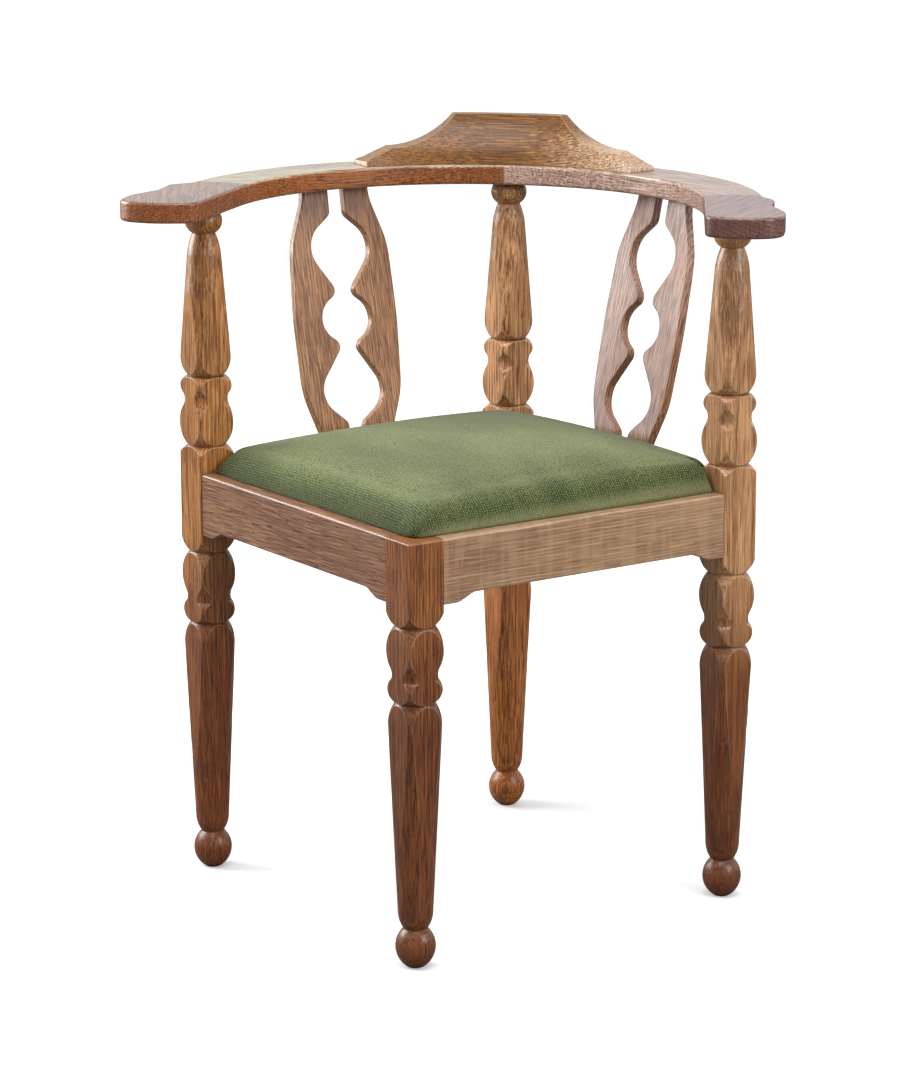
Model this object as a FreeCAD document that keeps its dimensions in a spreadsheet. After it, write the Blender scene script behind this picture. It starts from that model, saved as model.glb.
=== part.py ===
import FreeCAD, Part
import math
import os
import Sketcher

# Corner chair in oak with a drop-in seat. Millimetres.
# The origin is on the floor under the middle of the seat, +Z is up, and the
# sitter looks along -Y, over the corner where the front leg stands.

V = FreeCAD.Vector
Rotation = FreeCAD.Rotation
Placement = FreeCAD.Placement
UP = V(0, 0, 1)
ZERO = "zero"

SIZES = {
    # Main frame
    "leg_spacing": 383.0,
    "seat_top": 430.0,
    "arm_under": 700.0,
    "leg_half": 20.5,
    "leg_arris": 1.6,
    "lathe_reach": 34.0,
    # Foot and shin, heights from the floor
    "pad_radius": 8.0,
    "ball_radius": 20.0,
    "ball_height": 20.5,
    "ankle_radius": 11.9,
    "ankle_height": 39.4,
    "cup_radius": 15.9,
    "cup_height": 47.3,
    "shin_radius": 17.5,
    "shin_height": 58.0,
    # Turning under the seat, drops from the top of the seat rails
    "calf_radius": 26.4,
    "calf_drop": 184.0,
    "curl_radius": 24.4,
    "curl_drop": 171.3,
    "knee_radius": 19.3,
    "knee_drop": 161.3,
    "bead_radius": 27.0,
    "bead_drop": 148.2,
    "rim_radius": 23.0,
    "rim_drop": 138.8,
    "waist_radius": 22.4,
    "waist_drop": 134.3,
    "hip_radius": 23.9,
    "hip_drop": 127.5,
    "vase_radius": 28.2,
    "vase_drop": 108.5,
    "neck_radius": 19.4,
    "neck_drop": 85.4,
    "shoulder_radius": 26.3,
    "shoulder_drop": 76.8,
    "block_radius": 29.6,
    "block_drop": 66.0,
    # Baluster over the seat, rises from the top of the seat rails
    "crown_radius": 29.6,
    "crown_rise": 16.8,
    "slope_radius": 25.4,
    "slope_rise": 22.0,
    "collar_radius": 19.3,
    "collar_rise": 26.7,
    "urn_radius": 27.9,
    "urn_rise": 45.0,
    "lip_radius": 23.6,
    "lip_rise": 68.0,
    "stem_radius": 22.1,
    "stem_rise": 73.8,
    "flare_radius": 23.5,
    "flare_rise": 81.0,
    "torus_radius": 26.6,
    "torus_rise": 87.0,
    "cove_radius": 18.1,
    "cove_rise": 99.3,
    "bell_radius": 23.8,
    "bell_rise": 107.6,
    "drum_radius": 26.1,
    "drum_rise": 120.0,
    # Top of the baluster, drops from the underside of the arm
    "throat_radius": 17.5,
    "throat_below": 45.0,
    "bowl_radius": 15.6,
    "bowl_below": 34.0,
    "nape_radius": 11.9,
    "nape_below": 23.2,
    "button_radius": 19.2,
    "button_below": 11.0,
    "seatring_radius": 14.0,
    "post_tenon_radius": 10.0,
    "post_tenon_length": 14.0,
    # Seat rails
    "rail_reveal": 1.5,
    "rail_thick": 25.0,
    "rail_depth": 65.0,
    "rail_arch": 8.0,
    "rail_step_start": 19.0,
    "rail_step_end": 36.0,
    "rail_step_round": 14.0,
    "rail_edge_round": 2.5,
    "rail_lower_round": 1.5,
    "rail_lip": 15.0,
    "rabbet_depth": 14.0,
    "rail_tenon_thick": 9.0,
    "rail_tenon_inset": 8.0,
    "rail_tenon_foot": 10.0,
    "rail_tenon_tall": 38.0,
    "tenon_gap": 1.0,
    # Corner blocks and their screws
    "block_run": 52.0,
    "block_toe": 9.0,
    "block_below_rabbet": 4.0,
    "block_tall": 27.0,
    "block_gap": 0.5,
    "screw_along": 30.0,
    "screw_cover": 17.0,
    "screw_length": 31.0,
    "screw_radius": 2.1,
    "screw_head_radius": 4.0,
    "screw_head_tall": 2.6,
    "screw_bore_gap": 0.4,
    # Arm: horseshoe of two arcs and two hand pieces
    "arm_width": 60.0,
    "arm_set_in": 0.82,
    "arm_thick": 21.0,
    "arm_edge_round": 3.0,
    "arm_joint_angle": 78.0,
    "hand_blend_angle": 5.3,
    "heel_in": 13.8,
    "heel_ahead": 98.0,
    "heel_round": 15.0,
    "brow_in": 2.0,
    "brow_ahead": 108.5,
    "brow_round": 60.0,
    "tip_beyond": 37.0,
    "tip_ahead": 96.0,
    "tip_round": 26.0,
    "side_beyond": 35.0,
    "side_ahead": 50.0,
    "side_round": 40.0,
    "notch_beyond": 17.0,
    "notch_ahead": 8.0,
    "notch_round": 26.0,
    "ear_beyond": 16.0,
    "ear_behind": 32.0,
    "ear_round": 8.0,
    "flare_run": 10.0,
    "flare_round": 20.0,
    "right_hand_trim": 7.0,
    "arm_dowel_radius": 4.0,
    "arm_dowel_length": 40.0,
    # Crest block
    "crest_set_back": 5.0,
    "crest_deep": 36.0,
    "crest_tall": 52.0,
    "crest_face_in": 2.5,
    "crest_face_rise": 17.0,
    "crest_hollow_in": 9.5,
    "crest_hollow_rise": 27.5,
    "crest_ledge_in": 17.5,
    "crest_ledge_rise": 36.0,
    "crest_top_in": 23.0,
    "crest_half_angle": 35.2,
    "crest_cut_angle": 24.0,
    "crest_end_rise": 4.5,
    "crest_end_across": 51.0,
    "crest_knee_across": 18.3,
    "crest_knee_rise": 18.0,
    "crest_scoop_across": 26.1,
    "crest_scoop_rise": 28.8,
    "crest_top_across": 54.4,
    "crest_edge_round": 1.6,
    "crest_dowel_radius": 4.0,
    "crest_dowel_depth": 12.0,
    "crest_dowel_inner_angle": 12.0,
    "crest_dowel_outer_angle": 24.0,
    # Slats, across from the middle of a pair and up from the foot
    "slat_thick": 10.0,
    "slat_edge_round": 2.0,
    "slat_foot_in": 7.3,
    "slat_pair_shift": 2.2,
    "slat_tilt": 2.9,
    "slat_slot": 9.6,
    "slat_slot_foot": 25.0,
    "slat_slot_round": 10.0,
    "bowl_low_across": 46.9,
    "bowl_low_up": 54.7,
    "bowl_low_round": 26.5,
    "nose_across": 8.1,
    "nose_low_up": 108.4,
    "nose_round": 9.6,
    "bowl_mid_across": 48.6,
    "bowl_mid_up": 135.7,
    "bowl_mid_round": 23.8,
    "nose_high_up": 164.7,
    "bowl_high_across": 47.4,
    "bowl_high_up": 217.1,
    "bowl_high_round": 29.0,
    "slat_slot_head": 247.2,
    "slat_foot_across": 39.6,
    "slat_hip_across": 60.6,
    "slat_hip_up": 57.6,
    "slat_hip_round": 100.0,
    "slat_belly_across": 63.6,
    "slat_belly_up": 137.0,
    "slat_belly_round": 420.0,
    "slat_shoulder_across": 60.0,
    "slat_shoulder_up": 216.0,
    "slat_shoulder_round": 85.0,
    "slat_neck_across": 41.3,
    "slat_neck_up": 265.6,
    "slat_neck_round": 60.0,
    "slat_spare": 14.0,
    "stub_thick": 6.0,
    "stub_wide": 18.0,
    "stub_depth": 9.0,
    "stub_root": 7.0,
    # Drop-in seat
    "seat_gap": 0.6,
    "seat_rest_gap": 0.3,
    "board_thick": 12.0,
    "cover_thick": 1.2,
    "cover_turn_under": 16.0,
    "pad_over": 1.9,
    "pad_corner_round": 10.0,
    "pad_foot_gap": 0.4,
    "pad_crown_rise": 47.0,
    "pad_crown_curve": 890.0,
    "pad_edge_round": 9.0,
    # How far a cutter runs past the stock
    "cut_clear": 5.0,
}

DROPS = ["calf", "curl", "knee", "bead", "rim", "waist", "hip", "vase", "neck", "shoulder", "block"]
RISES = ["crown", "slope", "collar", "urn", "lip", "stem", "flare", "torus", "cove", "bell", "drum"]
BELOWS = ["throat", "bowl", "nape", "button"]

# Sizes that follow from the driving ones
WORKED = {
    "half_spacing": "=Sizes.leg_spacing / 2",
    "leg_reach": "=Sizes.leg_spacing / sqrt(2)",
    "arm_centre": "=leg_reach - Sizes.arm_set_in",
    "arm_inner": "=arm_centre - Sizes.arm_width / 2",
    "arm_outer": "=arm_centre + Sizes.arm_width / 2",
    "arm_dowel_spread": "=Sizes.arm_width / 3",
    "heel_across": "=arm_inner + Sizes.heel_in",
    "left_brow_across": "=arm_outer - Sizes.brow_in",
    "right_brow_across": "=left_brow_across - Sizes.right_hand_trim",
    "rail_half": "=half_spacing - Sizes.leg_half",
    "rail_face": "=half_spacing + Sizes.leg_half - Sizes.rail_reveal",
    "rail_face_part": "=rail_face / sqrt(2)",
    "rail_outset": "=Sizes.leg_half - Sizes.rail_reveal",
    "rail_inset": "=Sizes.rail_thick - rail_outset",
    "rail_bottom": "=Sizes.seat_top - Sizes.rail_depth",
    "rail_arch_height": "=rail_bottom + Sizes.rail_arch",
    "rail_step_outer": "=rail_half - Sizes.rail_step_start",
    "rail_step_inner": "=rail_half - Sizes.rail_step_end",
    "rail_clear_height": "=Sizes.seat_top + Sizes.cut_clear",
    "rail_clear_depth": "=Sizes.rail_thick + Sizes.cut_clear",
    "rabbet_floor": "=Sizes.seat_top - Sizes.rabbet_depth",
    "rail_tenon_back": "=Sizes.rail_tenon_inset + Sizes.rail_tenon_thick",
    "rail_tenon_bottom": "=rail_bottom + Sizes.rail_tenon_foot",
    "rail_tenon_end": "=half_spacing + rail_outset - Sizes.rail_tenon_inset - Sizes.tenon_gap",
    "rail_tenon_heel": "=half_spacing + rail_outset - rail_tenon_back - Sizes.tenon_gap",
    "mortise_outer": "=rail_outset - Sizes.rail_tenon_inset",
    "mortise_inner": "=rail_outset - rail_tenon_back",
    "block_z": "=rabbet_floor - Sizes.block_below_rabbet - Sizes.block_tall",
    "block_clear": "=Sizes.leg_half + Sizes.block_gap",
    "block_end": "=Sizes.leg_half + Sizes.block_run",
    "block_corner": "=rail_inset + Sizes.block_toe",
    "screw_x": "=Sizes.leg_half + Sizes.screw_along",
    "screw_bore_radius": "=Sizes.screw_head_radius + Sizes.screw_bore_gap",
    "screw_z": "=block_z + Sizes.block_tall / 2",
    "post_top": "=Sizes.arm_under + Sizes.post_tenon_length",
    "post_socket_depth": "=Sizes.post_tenon_length + Sizes.tenon_gap",
    "arm_top": "=Sizes.arm_under + Sizes.arm_thick",
    "arm_mid": "=Sizes.arm_under + Sizes.arm_thick / 2",
    "joint_inner_x": "=arm_inner * sin(Sizes.arm_joint_angle)",
    "joint_inner_y": "=arm_inner * cos(Sizes.arm_joint_angle)",
    "joint_outer_x": "=arm_outer * sin(Sizes.arm_joint_angle)",
    "joint_outer_y": "=arm_outer * cos(Sizes.arm_joint_angle)",
    "blend_reach": "=arm_inner / cos(Sizes.hand_blend_angle / 2)",
    "blend_x": "=blend_reach * sin(Sizes.arm_joint_angle + Sizes.hand_blend_angle / 2)",
    "blend_y": "=blend_reach * cos(Sizes.arm_joint_angle + Sizes.hand_blend_angle / 2)",
    "flare_x": "=joint_outer_x + Sizes.flare_run * cos(Sizes.arm_joint_angle)",
    "flare_y": "=joint_outer_y - Sizes.flare_run * sin(Sizes.arm_joint_angle)",
    "crest_inner": "=arm_inner + Sizes.crest_set_back",
    "crest_outer": "=crest_inner + Sizes.crest_deep",
    "crest_face_reach": "=crest_inner + Sizes.crest_face_in",
    "crest_hollow_reach": "=crest_inner + Sizes.crest_hollow_in",
    "crest_ledge_reach": "=crest_inner + Sizes.crest_ledge_in",
    "crest_top_inner": "=crest_inner + Sizes.crest_top_in",
    "crest_dowel_reach": "=(crest_inner + crest_outer) / 2",
    "crest_top": "=arm_top + Sizes.crest_tall",
    "crest_hollow_height": "=arm_top + Sizes.crest_hollow_rise",
    "crest_end_height": "=arm_top + Sizes.crest_end_rise",
    "crest_knee_height": "=arm_top + Sizes.crest_knee_rise",
    "crest_face_height": "=arm_top + Sizes.crest_face_rise",
    "crest_ledge_height": "=arm_top + Sizes.crest_ledge_rise",
    "crest_scoop_height": "=arm_top + Sizes.crest_scoop_rise",
    "crest_span": "=2 * Sizes.crest_half_angle",
    "crest_end_angle": "=Sizes.crest_half_angle - Sizes.crest_cut_angle",
    "crest_clear_across": "=crest_outer * sin(crest_end_angle) + Sizes.cut_clear",
    "crest_clear_height": "=crest_top + Sizes.cut_clear",
    "crest_dowel_z": "=arm_top - Sizes.crest_dowel_depth",
    "crest_dowel_length": "=2 * Sizes.crest_dowel_depth",
    "slat_foot_reach": "=rail_face - Sizes.slat_foot_in",
    "slat_lean": "=atan((arm_centre - slat_foot_reach) / (Sizes.arm_under - Sizes.seat_top))",
    "slat_length": "=(Sizes.arm_under - Sizes.seat_top) / cos(slat_lean) / cos(Sizes.slat_tilt)",
    "slat_rise": "=Sizes.arm_under - Sizes.seat_top",
    "room_wide": "=2 * arm_outer",
    "slat_foot_flare": "=(Sizes.slat_hip_across - Sizes.slat_foot_across) / Sizes.slat_hip_up",
    "slat_foot_low_across": "=Sizes.slat_foot_across - Sizes.slat_spare * slat_foot_flare",
    "slat_head": "=slat_length + Sizes.slat_spare",
    "stub_foot_x": "=(Sizes.slat_slot + Sizes.slat_foot_across) / 2",
    "stub_head_x": "=(Sizes.slat_slot + Sizes.slat_neck_across) / 2",
    "stub_length": "=Sizes.stub_depth + Sizes.stub_root",
    "seat_z": "=rabbet_floor + Sizes.seat_rest_gap",
    "board_z": "=seat_z + Sizes.cover_thick",
    "skirt_half": "=rail_face - Sizes.rail_lip - Sizes.seat_gap",
    "skirt_notch": "=rail_half - Sizes.seat_gap",
    "skirt_top": "=Sizes.seat_top + Sizes.pad_foot_gap",
    "skirt_tall": "=skirt_top - seat_z",
    "board_half": "=skirt_half - Sizes.cover_thick",
    "board_notch": "=skirt_notch - Sizes.cover_thick",
    "turn_half": "=skirt_half - Sizes.cover_turn_under",
    "turn_notch": "=skirt_notch - Sizes.cover_turn_under",
    "board_top": "=board_z + Sizes.board_thick",
    "cover_foot_top": "=skirt_top + Sizes.cover_thick",
    "cover_inside_tall": "=cover_foot_top - board_z",
    "foam_foot_tall": "=cover_foot_top - board_top",
    "pad_half": "=rail_face - Sizes.rail_lip + Sizes.pad_over",
    "pad_run": "=2 * (pad_half + Sizes.cut_clear)",
    "pad_tall": "=Sizes.pad_crown_rise + Sizes.cut_clear",
    "pad_crown": "=Sizes.seat_top + Sizes.pad_crown_rise",
    "pad_curve_z": "=pad_crown - Sizes.pad_crown_curve",
    "pad_bend_across": "=pad_half - Sizes.pad_edge_round",
    "pad_bend_reach": "=Sizes.pad_crown_curve - Sizes.pad_edge_round",
    "pad_bend_rise": "=sqrt(pad_bend_reach ^ 2 - pad_bend_across ^ 2)",
    "pad_bend_height": "=pad_curve_z + pad_bend_rise",
    "pad_bend_angle": "=atan(pad_bend_rise / pad_bend_across)",
}
for station in DROPS:
    WORKED[station + "_height"] = f"=Sizes.seat_top - Sizes.{station}_drop"
for station in RISES:
    WORKED[station + "_height"] = f"=Sizes.seat_top + Sizes.{station}_rise"
for station in BELOWS:
    WORKED[station + "_height"] = f"=Sizes.arm_under - Sizes.{station}_below"
# The right hand piece of the arm is sawn a little narrower than the left one
for station in ["tip", "side", "notch", "ear"]:
    WORKED["left_" + station + "_across"] = f"=arm_outer + Sizes.{station}_beyond"
    WORKED["right_" + station + "_across"] = f"=left_{station}_across - Sizes.right_hand_trim"
# The pad's vault, for the outside of its cover and for the foam that lies inside
for layer, inset in (("cover", ""), ("foam", " - Sizes.cover_thick")):
    WORKED[layer + "_side"] = "=pad_half" + inset
    WORKED[layer + "_crown"] = "=pad_crown" + inset
    WORKED[layer + "_curve"] = "=Sizes.pad_crown_curve" + inset
    WORKED[layer + "_bend"] = "=Sizes.pad_edge_round" + inset
    WORKED[layer + "_corner_round"] = "=Sizes.pad_corner_round" + inset
    WORKED[layer + "_turn_across"] = f"=pad_bend_across * {layer}_curve / pad_bend_reach"
    WORKED[layer + "_turn_height"] = f"=pad_curve_z + pad_bend_rise * {layer}_curve / pad_bend_reach"
    WORKED[layer + "_mid_across"] = f"=pad_bend_across + {layer}_bend * cos(pad_bend_angle / 2)"
    WORKED[layer + "_mid_height"] = f"=pad_bend_height + {layer}_bend * sin(pad_bend_angle / 2)"

doc = FreeCAD.newDocument("corner_chair")


def fill_sheet(name, entries):
    sheet = doc.addObject("Spreadsheet::Sheet", name)
    for row, (alias, content) in enumerate(entries.items(), start=1):
        sheet.set(f"A{row}", alias)
        sheet.set(f"B{row}", str(content))
        sheet.setAlias(f"B{row}", alias)
    doc.recompute()
    return sheet


SHEETS = [(SIZES, fill_sheet("Sizes", SIZES)), (WORKED, fill_sheet("Worked", WORKED))]


def size(alias):
    """The value of a named size; a leading minus mirrors it."""
    if alias == ZERO:
        return 0.0
    if alias.startswith("-"):
        return -size(alias[1:])
    for names, sheet in SHEETS:
        if alias in names:
            value = getattr(sheet, alias)
            return float(getattr(value, "Value", value))
    raise KeyError(alias)


def ref(alias):
    """The expression that reads a named size from its sheet."""
    return ("Sizes." if alias in SIZES else "Worked.") + alias


def bind(item, prop, alias):
    setattr(item, prop, size(alias))
    item.setExpression(prop, ref(alias))


def point(station):
    return V(size(station[0]), size(station[1]), 0)


# Sketch helpers. A station is a pair of named sizes, across and up.

def lock(sketch, geo, end, station):
    """Hold one point of a sketch at a station, with constraints that read the sheet."""
    for kind, axis, alias in (("DistanceX", -2, station[0]), ("DistanceY", -1, station[1])):
        if alias == ZERO:
            sketch.addConstraint(Sketcher.Constraint("PointOnObject", geo, end, axis))
            continue
        value = size(alias)
        name = alias.lstrip("-")
        if value < 0:
            rule = Sketcher.Constraint(kind, geo, end, -1, 1, -value)
        else:
            rule = Sketcher.Constraint(kind, -1, 1, geo, end, value)
        index = sketch.addConstraint(rule)
        sign = "-" if size(name) < 0 else ""
        sketch.setExpression(f"Constraints[{index}]", sign + ref(name))


def add_arc(sketch, here, through, there):
    """An arc through three points; returns it with its first and last end numbers."""
    circle = Part.Arc(here, through, there).toShape().Curve
    centre = circle.Center
    begin = math.atan2(here.y - centre.y, here.x - centre.x)
    finish = math.atan2(there.y - centre.y, there.x - centre.x)
    left_turn = (through - here).cross(there - through).z > 0
    if not left_turn:
        begin, finish = finish, begin
    if finish <= begin:
        finish += 2 * math.pi
    arc = Part.ArcOfCircle(Part.Circle(centre, UP, circle.Radius), begin, finish)
    geo = sketch.addGeometry(arc, False)
    return (geo, 1, 2) if left_turn else (geo, 2, 1)


def outline(sketch, path):
    """Closed outline: a station is a straight run, [through, end] is an arc."""
    here = path[0]
    drawn = []
    for step in path[1:] + [path[0]]:
        if isinstance(step, list):
            through, there = step
            geo, first, last = add_arc(sketch, point(here), point(through), point(there))
            marker = sketch.addGeometry(Part.Point(point(through)), True)
            lock(sketch, marker, 1, through)
            sketch.addConstraint(Sketcher.Constraint("PointOnObject", marker, 1, geo))
        else:
            there = step
            geo = sketch.addGeometry(Part.LineSegment(point(here), point(there)), False)
            first, last = 1, 2
        lock(sketch, geo, first, here)
        drawn.append((geo, first, last))
        here = there
    for (geo, _, last), (following, first, _) in zip(drawn, drawn[1:] + drawn[:1]):
        sketch.addConstraint(Sketcher.Constraint("Coincident", geo, last, following, first))


def rounded(sketch, corners):
    """Closed outline of straight runs whose corners, (across, up, radius), may be rounded."""
    spots = [point(corner) for corner in corners]
    count = len(corners)
    ends = []
    for index, corner in enumerate(corners):
        spot = spots[index]
        if corner[2] is None:
            ends.append((spot, spot, None))
            continue
        back = (spots[index - 1] - spot).normalize()
        ahead = (spots[(index + 1) % count] - spot).normalize()
        radius = size(corner[2])
        half = back.getAngle(ahead) / 2
        run = radius / math.tan(half)
        centre = spot + (back + ahead).normalize() * (radius / math.sin(half))
        ends.append((spot + back * run, spot + ahead * run, (centre, radius)))
    lines = []
    for index in range(count):
        start = ends[index][1]
        finish = ends[(index + 1) % count][0]
        lines.append(sketch.addGeometry(Part.LineSegment(start, finish), False))
    for index, corner in enumerate(corners):
        before, after = lines[index - 1], lines[index]
        if corner[2] is None:
            lock(sketch, after, 1, corner)
            sketch.addConstraint(Sketcher.Constraint("Coincident", before, 2, after, 1))
            continue
        start, finish, (centre, radius) = ends[index]
        middle = centre + (spots[index] - centre).normalize() * radius
        arc, first, last = add_arc(sketch, start, middle, finish)
        marker = sketch.addGeometry(Part.Point(spots[index]), True)
        lock(sketch, marker, 1, corner)
        sketch.addConstraint(Sketcher.Constraint("PointOnObject", marker, 1, before))
        sketch.addConstraint(Sketcher.Constraint("PointOnObject", marker, 1, after))
        sketch.addConstraint(Sketcher.Constraint("Tangent", before, 2, arc, first))
        sketch.addConstraint(Sketcher.Constraint("Tangent", after, 1, arc, last))
        rule = sketch.addConstraint(Sketcher.Constraint("Radius", arc, radius))
        sketch.setExpression(f"Constraints[{rule}]", ref(corner[2]))


# Feature helpers

def new_body(name):
    return doc.addObject("PartDesign::Body", name)


def sketch_on(body, name, plane, lift=None, turn=0.0):
    """A sketch on one of its body's own planes, moved along its normal and turned upright."""
    sketch = body.newObject("Sketcher::SketchObject", name)
    origin_plane = next(f for f in body.Origin.OriginFeatures if f.Role == plane + "_Plane")
    sketch.AttachmentSupport = [(origin_plane, "")]
    sketch.MapMode = "FlatFace"
    offset = size(lift) if lift else 0.0
    sketch.AttachmentOffset = Placement(V(0, 0, offset), Rotation(V(0, 1, 0), turn))
    if lift:
        sketch.setExpression("AttachmentOffset.Base.z", ref(lift))
    return sketch


def pad(body, name, sketch, length, midplane=False):
    feature = body.newObject("PartDesign::Pad", name)
    feature.Profile = sketch
    feature.Midplane = midplane
    bind(feature, "Length", length)
    sketch.Visibility = False
    doc.recompute()
    return feature


def pocket(body, name, sketch, length, reverse=False, midplane=False):
    feature = body.newObject("PartDesign::Pocket", name)
    feature.Profile = sketch
    feature.Midplane = midplane
    feature.Reversed = reverse
    bind(feature, "Length", length)
    before = body.Shape.Volume
    doc.recompute()
    if not body.Shape.Volume < before:
        raise RuntimeError(name + " cuts nothing")
    return feature


def groove(body, name, sketch):
    feature = body.newObject("PartDesign::Groove", name)
    feature.Profile = sketch
    feature.ReferenceAxis = (sketch, ["V_Axis"])
    feature.Angle = 360.0
    before = body.Shape.Volume
    doc.recompute()
    if not body.Shape.Volume < before:
        raise RuntimeError(name + " cuts nothing")
    return feature


def edges(shape, test):
    return [f"Edge{i}" for i, edge in enumerate(shape.Edges, start=1) if test(edge)]


def round_edges(body, name, radius, test):
    base = body.Tip
    feature = body.newObject("PartDesign::Fillet", name)
    feature.Base = (base, edges(base.Shape, test))
    bind(feature, "Radius", radius)
    doc.recompute()
    return feature


def joined(name, items):
    fuse = doc.addObject("Part::MultiFuse", name)
    fuse.Shapes = items
    return fuse


def cut(name, base, tools):
    result = doc.addObject("Part::Cut", name)
    result.Base = base
    result.Tool = tools[0] if len(tools) == 1 else joined(name + "_tools", tools)
    return result


def cylinder(name, radius, length, spot, direction):
    """A round bar that starts at spot and runs along direction."""
    bar = doc.addObject("Part::Cylinder", name)
    bind(bar, "Radius", radius)
    bind(bar, "Height", length)
    bar.Placement = Placement(spot, Rotation(UP, direction))
    return bar


def stand(item, across, ahead, angle):
    """Stand a piece at (across, ahead) and turn it about its own upright axis."""
    item.Placement = Placement(V(size(across), size(ahead), 0), Rotation(UP, angle))
    for axis, alias in (("x", across), ("y", ahead)):
        if alias != ZERO:
            sign = "-" if alias.startswith("-") else ""
            item.setExpression(f".Placement.Base.{axis}", sign + ref(alias.lstrip("-")))


PARTS = []


def keep(item, label):
    item.Label = label
    PARTS.append(item)
    return item


def around(reach, angle, height):
    """A point at a distance from the chair's axis, its angle measured from the back."""
    turn = math.radians(angle)
    return V(reach * math.sin(turn), reach * math.cos(turn), height)


# Legs and posts: square stock, turned between its blocks

CORNERS = {
    "front_leg": (ZERO, "-leg_reach", 45.0),
    "right_post": ("leg_reach", ZERO, 135.0),
    "back_post": (ZERO, "leg_reach", 225.0),
    "left_post": ("-leg_reach", ZERO, 315.0),
}


def station(name):
    return (name + "_radius", name + "_height")


def make_leg(label, across, ahead, angle):
    is_post = label.endswith("post")
    body = new_body(label + "_body")
    stock = sketch_on(body, label + "_stock", "XY")
    low, high = "-leg_half", "leg_half"
    outline(stock, [(low, low), (high, low), (high, high), (low, high)])
    top = "post_top" if is_post else "seat_top"
    pad(body, label + "_blank", stock, top)
    round_edges(body, label + "_arrises", "leg_arris", lambda e: abs(e.tangentAt(e.FirstParameter).z) > 0.9)
    under = sketch_on(body, label + "_under_seat", "XZ")
    outline(under, [
        ("pad_radius", ZERO),
        [("ball_radius", "ball_height"), ("ankle_radius", "ankle_height")],
        [("cup_radius", "cup_height"), ("shin_radius", "shin_height")],
        station("calf"),
        [station("curl"), station("knee")],
        [station("bead"), station("rim")],
        [station("waist"), station("hip")],
        [station("vase"), station("neck")],
        [station("shoulder"), station("block")],
        ("lathe_reach", "block_height"),
        ("lathe_reach", ZERO),
    ])
    groove(body, label + "_lower_turning", under)
    if is_post:
        over = sketch_on(body, label + "_over_seat", "XZ")
        outline(over, [
            station("crown"),
            [station("slope"), station("collar")],
            [station("urn"), station("lip")],
            [station("stem"), station("flare")],
            [station("torus"), station("cove")],
            [station("bell"), station("drum")],
            station("throat"),
            [station("bowl"), station("nape")],
            [station("button"), ("seatring_radius", "arm_under")],
            ("post_tenon_radius", "arm_under"),
            ("post_tenon_radius", "post_top"),
            ("lathe_reach", "post_top"),
            ("lathe_reach", "crown_height"),
        ])
        groove(body, label + "_upper_turning", over)
    else:
        round_edges(body, label + "_top_round", "leg_arris", lambda e: e.BoundBox.ZMin > size("seat_top") - 0.1)
    slot = sketch_on(body, label + "_mortise_plan", "XY", lift="rail_tenon_bottom")
    outside, inside = "-mortise_outer", "-mortise_inner"
    outline(slot, [
        ("lathe_reach", outside), (outside, outside), (outside, "lathe_reach"),
        (inside, "lathe_reach"), (inside, inside), ("lathe_reach", inside),
    ])
    pocket(body, label + "_mortise", slot, "rail_tenon_tall", reverse=True)
    stand(body, across, ahead, angle)
    return keep(body, label)


for label, (across, ahead, angle) in CORNERS.items():
    make_leg(label, across, ahead, angle)

# Seat rails, each in a frame whose X runs along it and whose Y is its outer face

SIDES = {
    "front_left_rail": ("-rail_face_part", "-rail_face_part", 135.0),
    "front_right_rail": ("rail_face_part", "-rail_face_part", 225.0),
    "back_right_rail": ("rail_face_part", "rail_face_part", 315.0),
    "back_left_rail": ("-rail_face_part", "rail_face_part", 45.0),
}
RAIL_LABELS = list(SIDES)
LEG_LABELS = list(CORNERS)


def make_rail_body(label, across, ahead, angle):
    body = new_body(label + "_body")
    face = sketch_on(body, label + "_face", "XZ")
    steps = [
        ("rail_half", "rail_bottom", None),
        ("rail_step_outer", "rail_bottom", "rail_step_round"),
        ("rail_step_inner", "rail_arch_height", "rail_step_round"),
    ]
    mirrored = [("-" + x, z, r) for x, z, r in reversed(steps)]
    rounded(face, [("rail_half", "seat_top", None)] + steps + mirrored + [("-rail_half", "seat_top", None)])
    pad(body, label + "_board", face, "rail_thick")
    top, deep = size("seat_top"), size("rail_thick")

    def top_outer(edge):
        box = edge.BoundBox
        return box.ZMin > top - 0.1 and box.YMin > -0.1 and box.XLength > 1

    def lower_outer(edge):
        box = edge.BoundBox
        return box.ZMax < top - 1 and box.YMin > -0.1 and box.XLength > 0.5

    round_edges(body, label + "_top_round", "rail_edge_round", top_outer)
    round_edges(body, label + "_lower_round", "rail_lower_round", lower_outer)
    rabbet = sketch_on(body, label + "_rabbet_end", "YZ")
    outline(rabbet, [
        ("-rail_lip", "rabbet_floor"), ("-rail_lip", "rail_clear_height"),
        ("-rail_clear_depth", "rail_clear_height"), ("-rail_clear_depth", "rabbet_floor"),
    ])
    pocket(body, label + "_rabbet", rabbet, "leg_spacing", midplane=True)
    tongue = sketch_on(body, label + "_tenon_plan", "XY", lift="rail_tenon_bottom")
    outline(tongue, [
        ("rail_tenon_end", "-rail_tenon_inset"), ("rail_tenon_heel", "-rail_tenon_back"),
        ("-rail_tenon_heel", "-rail_tenon_back"), ("-rail_tenon_end", "-rail_tenon_inset"),
    ])
    pad(body, label + "_tenons", tongue, "rail_tenon_tall")
    stand(body, across, ahead, angle)
    return body


# Corner blocks, in the frame of the leg that each one backs

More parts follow.
